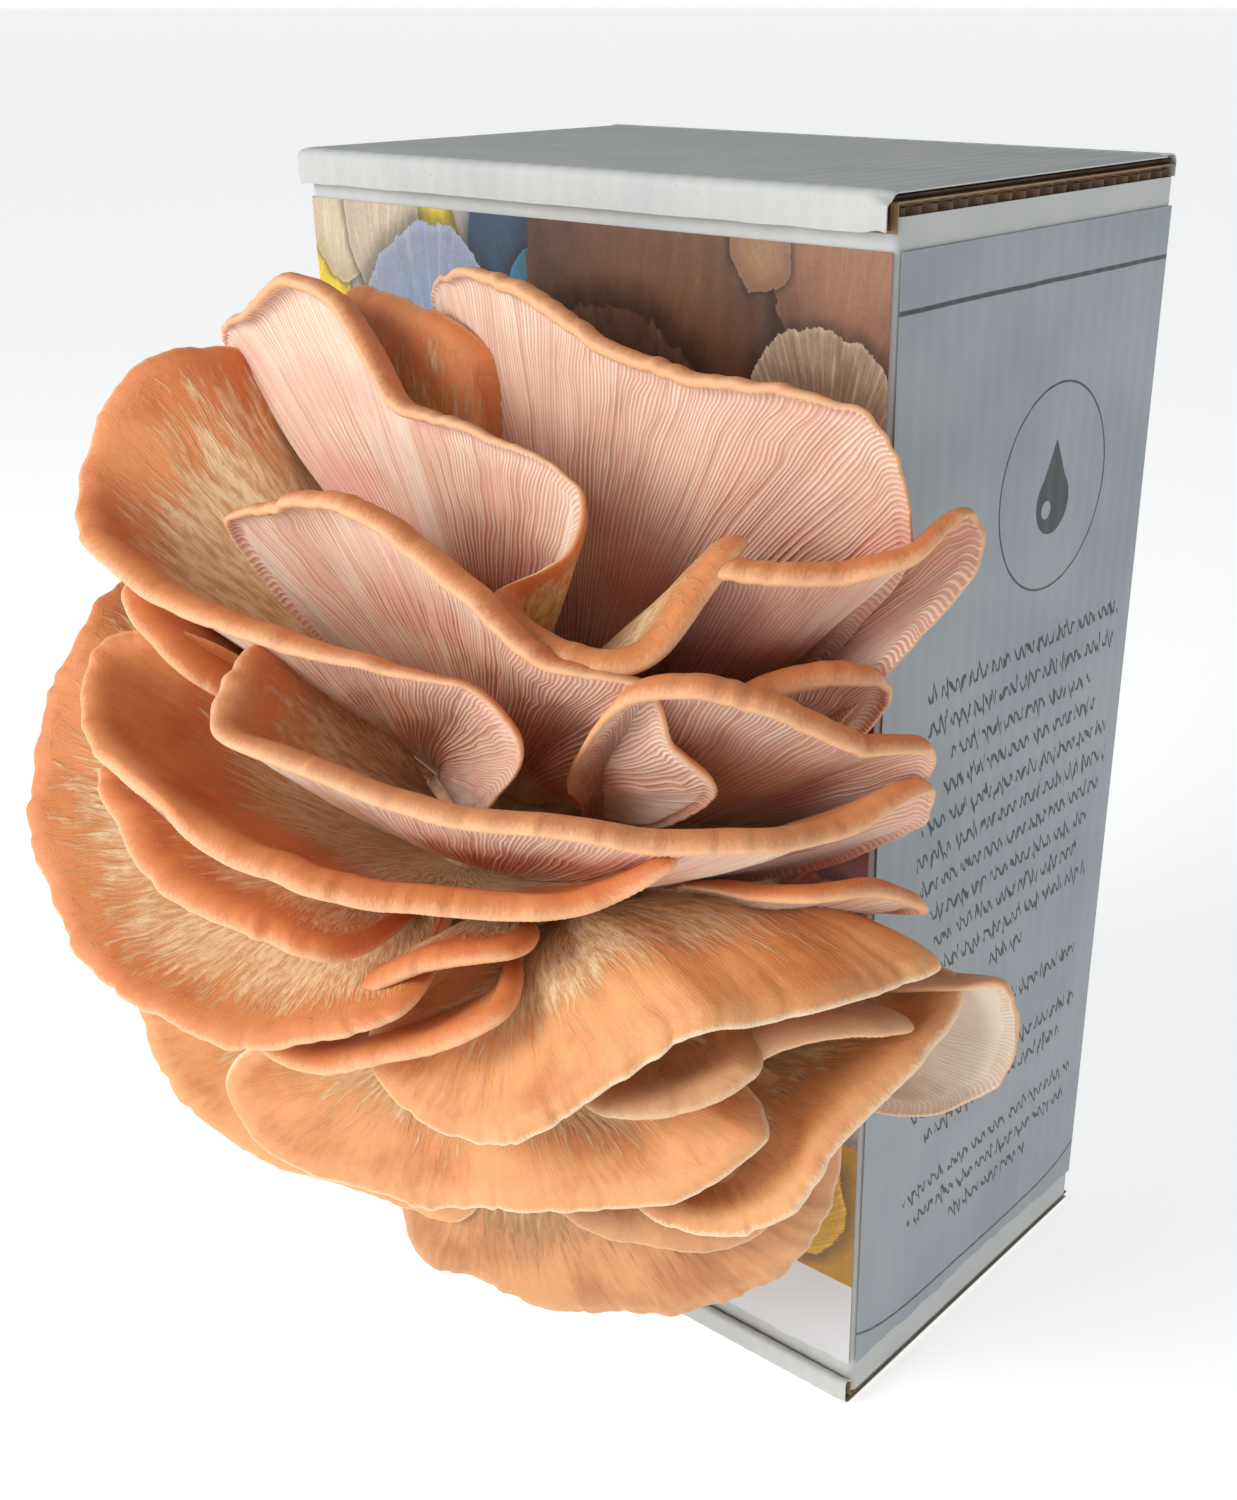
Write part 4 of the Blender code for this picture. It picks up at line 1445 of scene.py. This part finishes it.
        up, base, course = self.up[:, -1], self.sheet[:, -1], self.course[:, -1]
        last, groove = crest[:, -1], depth[:, -1] * (1.0 - crest[:, -1]) * self.fade[:, 0]
        rings, dress, inner = [], [], []
        steps = self.roll_rows
        for k in range(1, steps + 1):
            u = k / steps
            on = unit((1.0 - u) * course + u * self.ahead)
            on = unit(on - up * (on * up).sum(axis=1, keepdims=True))
            cos, sin = np.cos(self.angle[:, k:k + 1]), np.sin(self.angle[:, k:k + 1])
            middle = base + on * self.forward[:, k:k + 1] - up * self.down[:, k:k + 1]
            normal, onward = up * cos + on * sin, on * cos - up * sin
            rings.append(middle + normal * self.over[:, k:k + 1])
            dress.append((1.0, 1.0 + 0.2 * u, 1.0))
            cut = (self.below[:, k] - groove * (1.0 - 0.5 * u))[:, None]
            inner.append((middle - normal * cut, (0.0, 1.0 + 0.1 * u, -1.0)))
        for turn in np.linspace(0.0, TAU / 2, 7)[1:-1]:
            share = (1.0 - math.cos(turn)) / 2.0
            size = self.over[:, -1:] * (1.0 - share) + cut * share
            rings.append(middle + (normal * math.cos(turn) + onward * math.sin(turn)) * size)
            dress.append((1.0 - ease(np.array(share), 0.45, 1.0), 1.2 + 0.05 * math.sin(turn), -1.0))
        for ring, look in reversed(inner):
            rings.append(ring)
            dress.append(look)
        points = np.concatenate([top, np.stack(rings, axis=1), under[:, ::-1]], axis=1)

        looks = np.zeros(points.shape)
        looks[:, :self.rows, 0] = 1.0
        looks[:, :self.rows, 1] = self.along
        for place, (skin, out, gill) in enumerate(dress, start=self.rows):
            looks[:, place] = (skin, out, gill)
            if gill < 0.0:
                looks[:, place, 2] = last
        looks[:, -self.rows:, 1] = self.along[::-1]
        # where the gills are shallow, the painted valley shade in the colour fades out
        shallow = 1.0 - ease(depth, 0.1 * MM, 0.5 * MM)
        looks[:, -self.rows:, 2] = (crest + 0.6 * shallow)[:, ::-1]
        looks[..., 1] /= OUT_RANGE
        return points, np.clip(looks, 0.0, 1.0)

    def build(self) -> None:
        """Builds the mushroom as one closed mesh."""
        self.draw_sheet()
        points, looks = self.loft()
        low, high = (np.array(corner) for corner in cad_bounds)
        points = np.clip(points, low + 0.05 * MM, high - 0.05 * MM)
        thing, column, row = shaped_grid("cap_" + self.name, points)
        mesh = thing.data
        growth = mesh.attributes.new("growth", "FLOAT_COLOR", "POINT")
        dress = np.ones((len(column), 4))
        dress[:, :3] = looks[column, row]
        growth.data.foreach_set("color", dress.ravel())
        across = self.length / CM + self.seed % 97
        rise = np.minimum(np.arange(points.shape[1]), 2 * self.rows) / self.rows * self.reach / CM
        corners = np.empty(len(mesh.loops), int)
        mesh.loops.foreach_get("vertex_index", corners)
        fan = mesh.uv_layers[0] if mesh.uv_layers else mesh.uv_layers.new()
        fan.name = "fan"
        fan.data.foreach_set("uv", np.stack([across[column[corners]], rise[row[corners]]], axis=1).ravel())
        with editing():
            bpy.ops.mesh.remove_doubles(threshold=0.008 * MM)
            bpy.ops.mesh.select_all(action="SELECT")
            bpy.ops.mesh.fill_holes(sides=0)
            bpy.ops.mesh.select_all(action="SELECT")
            bpy.ops.mesh.normals_make_consistent(inside=False)
        bpy.ops.object.shade_smooth()
        settle(thing, cap_material(self.look), "kit", "mushroom", "mushroom_" + self.name)


@cache
def cap_material(look: CapLook) -> Material:
    """The material of a look, built once."""
    return look.value.material()


CLUSTER: Tuple[Mushroom, ...] = (
    Mushroom("front_right", CapLook.TAN, "433333333332", (33, 42, 158), (
        (133, 26, 178), (129, 40, 178), (124, 52, 178), (114, 66, 175), (106, 76, 175),
        (93, 84, 164), (83, 90, 156), (72, 94, 145), (56, 98, 134), (38, 102, 134), (21, 102, 141),
        (22, 98, 150)), bulge=0.2),
    Mushroom("left_funnel", CapLook.DOWNY, "001589984332", (-17, 33, 189), (
        (46, 80, 215), (57, 82, 230), (50, 86, 241), (29, 92, 244), (1, 97, 248), (-34, 98, 249),
        (-59, 96, 252), (-88, 88, 257), (-99, 80, 269), (-95, 68, 289), (-85, 55, 294),
        (-79, 34, 287)), bulge=-0.05),
    Mushroom("top_right", CapLook.ORANGE, "0037999710", (15, 20, 197), (
        (98, 14, 250), (114, 16, 273), (108, 22, 297), (91, 27, 302), (65, 30, 303), (38, 31, 309),
        (16, 30, 316), (-4, 28, 318), (-22, 24, 311), (-20, 22, 297))),
    Mushroom("top_left", CapLook.CREAM, "6999981048999840", (2, 31, 196), (
        (89, 46, 274), (86, 54, 268), (82, 64, 255), (74, 70, 251), (57, 70, 252), (42, 66, 257),
        (52, 59, 268), (53, 56, 281), (31, 58, 289), (3, 56, 293), (-19, 50, 304), (-35, 45, 312),
        (-54, 44, 314), (-70, 44, 305), (-87, 42, 298), (-55, 30, 262))),
    Mushroom("middle_shelf", CapLook.ORANGE, "3689998643", (-7, 50, 167), (
        (91, 74, 206), (82, 82, 201), (62, 95, 197), (39, 108, 198), (17, 116, 199), (-6, 120, 203),
        (-31, 122, 212), (-58, 116, 220), (-66, 106, 230), (-54, 94, 232)), bulge=-0.07),
    Mushroom("left_outer", CapLook.FLECKED, "344444433", (-32, 36, 160), (
        (32, 106, 163), (14, 114, 155), (-10, 118, 145), (-40, 120, 144), (-76, 118, 146),
        (-104, 112, 166), (-116, 104, 182), (-117, 80, 218), (-121, 56, 227))),
    Mushroom("long_shelf", CapLook.SHELF, "257888888743", (9, 47, 178), (
        (123, 24, 210), (126, 26, 221), (121, 46, 217), (112, 64, 217), (97, 78, 217),
        (82, 88, 219), (61, 98, 218), (36, 106, 221), (12, 112, 225), (-10, 110, 227),
        (-13, 103, 235), (-16, 96, 238)), bulge=-0.12),
    Mushroom("upper_middle", CapLook.ORANGE, "013799985", (6, 38, 191), (
        (96, 64, 225), (88, 68, 233), (84, 70, 245), (66, 76, 250), (46, 80, 262), (25, 80, 271),
        (1, 78, 275), (-21, 76, 270), (-42, 76, 263))),
    Mushroom("front_lower", CapLook.TAN, "3444333332", (11, 44, 136), (
        (109, 62, 136), (104, 68, 129), (94, 72, 120), (76, 80, 114), (52, 88, 107), (26, 94, 99),
        (1, 102, 99), (-21, 108, 104), (-32, 108, 112), (-21, 104, 129)), bulge=0.1),
    Mushroom("bottom", CapLook.BROWN, "3333333333", (12, 31, 125), (
        (113, 38, 123), (114, 38, 109), (110, 42, 94), (99, 46, 77), (81, 52, 64), (56, 58, 53),
        (33, 62, 43), (10, 66, 44), (-11, 68, 46), (-14, 68, 60)), bulge=0.18),
    Mushroom("lower_right", CapLook.TAN, "35776554", (38, 30, 127), (
        (132, 14, 163), (133, 24, 156), (126, 40, 143), (120, 48, 133), (117, 54, 121),
        (108, 60, 110), (92, 62, 104), (77, 63, 103)), bulge=-0.1),
    Mushroom("left_lower", CapLook.TAN, "3333333", (-20, 38, 138), (
        (9, 70, 71), (-10, 76, 69), (-27, 84, 76), (-53, 92, 78), (-68, 100, 90), (-77, 104, 112),
        (-86, 100, 127)), bulge=0.05),
    Mushroom("right_shelf", CapLook.ORANGE, "1489985", (36, 28, 180), (
        (124, 24, 221), (128, 27, 231), (120, 40, 235), (110, 54, 244), (100, 64, 249),
        (88, 70, 248), (83, 72, 244))),
    Mushroom("right_tip", CapLook.ORANGE, "0248998", (32, 18, 188), (
        (114, 14, 248), (127, 8, 272), (124, 8, 279), (121, 24, 273), (110, 34, 269), (98, 42, 268),
        (88, 46, 267))),
    Mushroom("left_inner", CapLook.DOWNY, "46664", (-19, 46, 165), (
        (11, 106, 173), (-5, 114, 178), (-28, 118, 182), (-48, 116, 188), (-70, 104, 199))),
    Mushroom("left_fold", CapLook.ORANGE, "5663", (-30, 26, 183), (
        (-41, 96, 231), (-59, 94, 238), (-77, 84, 244), (-70, 52, 222))),
    Mushroom("top_back", CapLook.FLECKED, "4652", (-8, 20, 197), (
        (-54, 28, 307), (-24, 32, 307), (-4, 32, 301), (-1, 27, 284)), bulge=0.1),
    Mushroom("right_frill", CapLook.ORANGE, "5998", (38, 14, 181), (
        (110, 20, 239), (108, 28, 244), (100, 40, 244), (95, 48, 241))),
    Mushroom("right_collar", CapLook.ORANGE, "565", (43, 22, 170), (
        (124, 22, 188), (122, 34, 196), (114, 46, 197)), bulge=-0.1),
    Mushroom("far_right", CapLook.PALE, "001233", (42, 18, 145), (
        (116, 22, 129), (131, 14, 131), (142, 8, 140), (145, 6, 154), (143, 8, 166),
        (132, 12, 164)), gill_depth=0.25 * MM),
    Mushroom("right_under", CapLook.PALE, "3443", (42, 29, 150), (
        (128, 30, 160), (120, 42, 162), (112, 53, 161), (104, 61, 156))),
    Mushroom("middle_tongue", CapLook.DOWNY, "565", (11, 51, 158), (
        (50, 84, 178), (32, 92, 173), (18, 98, 164))),
    Mushroom("middle_lip", CapLook.ORANGE, "56665", (0, 50, 149), (
        (52, 92, 163), (39, 100, 155), (26, 106, 149), (6, 110, 140), (-12, 110, 141)), bulge=-0.1),
    Mushroom("small_cup", CapLook.BROWN, "6666", (44, 36, 146), (
        (108, 66, 157), (101, 72, 150), (91, 76, 146), (74, 77, 144))),
    Mushroom("bottom_lip", CapLook.BROWN, "55555", (22, 36, 132), (
        (108, 50, 110), (103, 55, 102), (92, 61, 96), (75, 67, 94), (58, 71, 98)), bulge=0.1),
)


# ---------------------------------------------------------------------------- studio


@dataclass
class Studio:
    """The floor, the lights and the camera."""

    camera_place: Point = (0.3287, -0.4072, 0.3801)
    camera_turn: Point = (62.9, 0.0, 39.0)
    lens: float = 42.276
    shift: Tuple[float, float] = (-0.0739, 0.1019)
    ambient: float = 0.32
    sky: Tuple[float, ...] = (0.93, 0.965, 1.0, 1.0)
    floor_size: float = 400.0
    wall_radius: float = 190.0
    wall_height: float = 24.0

    def build(self) -> None:
        """Builds all of it."""
        floor = fresh("studio_floor", bpy.ops.mesh.primitive_plane_add, size=self.floor_size,
                      location=(0.0, 0.0, -0.3 * MM))
        wall = fresh("studio_wall", bpy.ops.mesh.primitive_cylinder_add, vertices=64,
                     end_fill_type="NOTHING", radius=self.wall_radius, depth=self.wall_height,
                     location=(0.0, 0.0, self.wall_height / 2))
        paint = FloorFinish().material()
        for thing in (floor, wall):
            thing.data.materials.append(paint)
        world = bpy.data.worlds.new("studio")
        bpy.context.scene.world = world
        world.use_nodes = True
        sky = world.node_tree.nodes["Background"]
        sky.inputs["Color"].default_value = self.sky
        sky.inputs["Strength"].default_value = self.ambient
        self.lamp("key", (-0.50, -1.38, 0.82), (66.0, 0.0, -20.0), 0.9, 16.5, (1.0, 0.99, 0.97))
        data = bpy.data.cameras.new("camera")
        camera = bpy.data.objects.new("camera", data)
        bpy.context.scene.collection.objects.link(camera)
        camera.location = self.camera_place
        camera.rotation_euler = [math.radians(angle) for angle in self.camera_turn]
        data.lens = self.lens
        data.sensor_width = 36.0
        data.shift_x, data.shift_y = self.shift
        data.clip_start = 0.01
        bpy.context.scene.camera = camera
        bpy.context.scene.view_settings.view_transform = "Standard"

    def lamp(self, name: str, place: Point, turn: Point, size: float, power: float, colour: Point) -> None:
        """Adds a square soft light.

        Args:
            name: The light's name.
            place: Where it stands.
            turn: Its turn about each axis, in degrees.
            size: Its side.
            power: Its power in watts.
            colour: Its colour.
        """
        data = bpy.data.lights.new(name, "AREA")
        data.size, data.energy, data.color = size, power, colour
        light = bpy.data.objects.new(name, data)
        light.location = place
        light.rotation_euler = [math.radians(angle) for angle in turn]
        bpy.context.scene.collection.objects.link(light)


def main() -> None:
    logging.basicConfig(level=logging.INFO, format="%(name)s %(message)s")
    Studio().build()
    # the flutes' kraft is darker than the liner's: partly its own brown, partly painted shade for the open
    # flutes between the liners
    carton = Carton(BoardFinish().material(), KraftFinish("kraft_liner").material(),
                    KraftFinish("kraft_flutes_shaded", "7A6048", "453524").material())
    carton.build()
    colour, grey = ColourPrint().material(), SidePrint().material()
    for label in (Label("front_label", colour, "colour_print", 11),
                  Label("side_label_right", grey, "grey_print", 12),
                  Label("side_label_left", grey, "grey_print", 13)):
        label.build(carton)
    Contents(BlockFinish().material(), FilmFinish().material(), ButtFinish().material()).build()
    for mushroom in CLUSTER:
        mushroom.build()


if __name__ == "__main__":
    main()
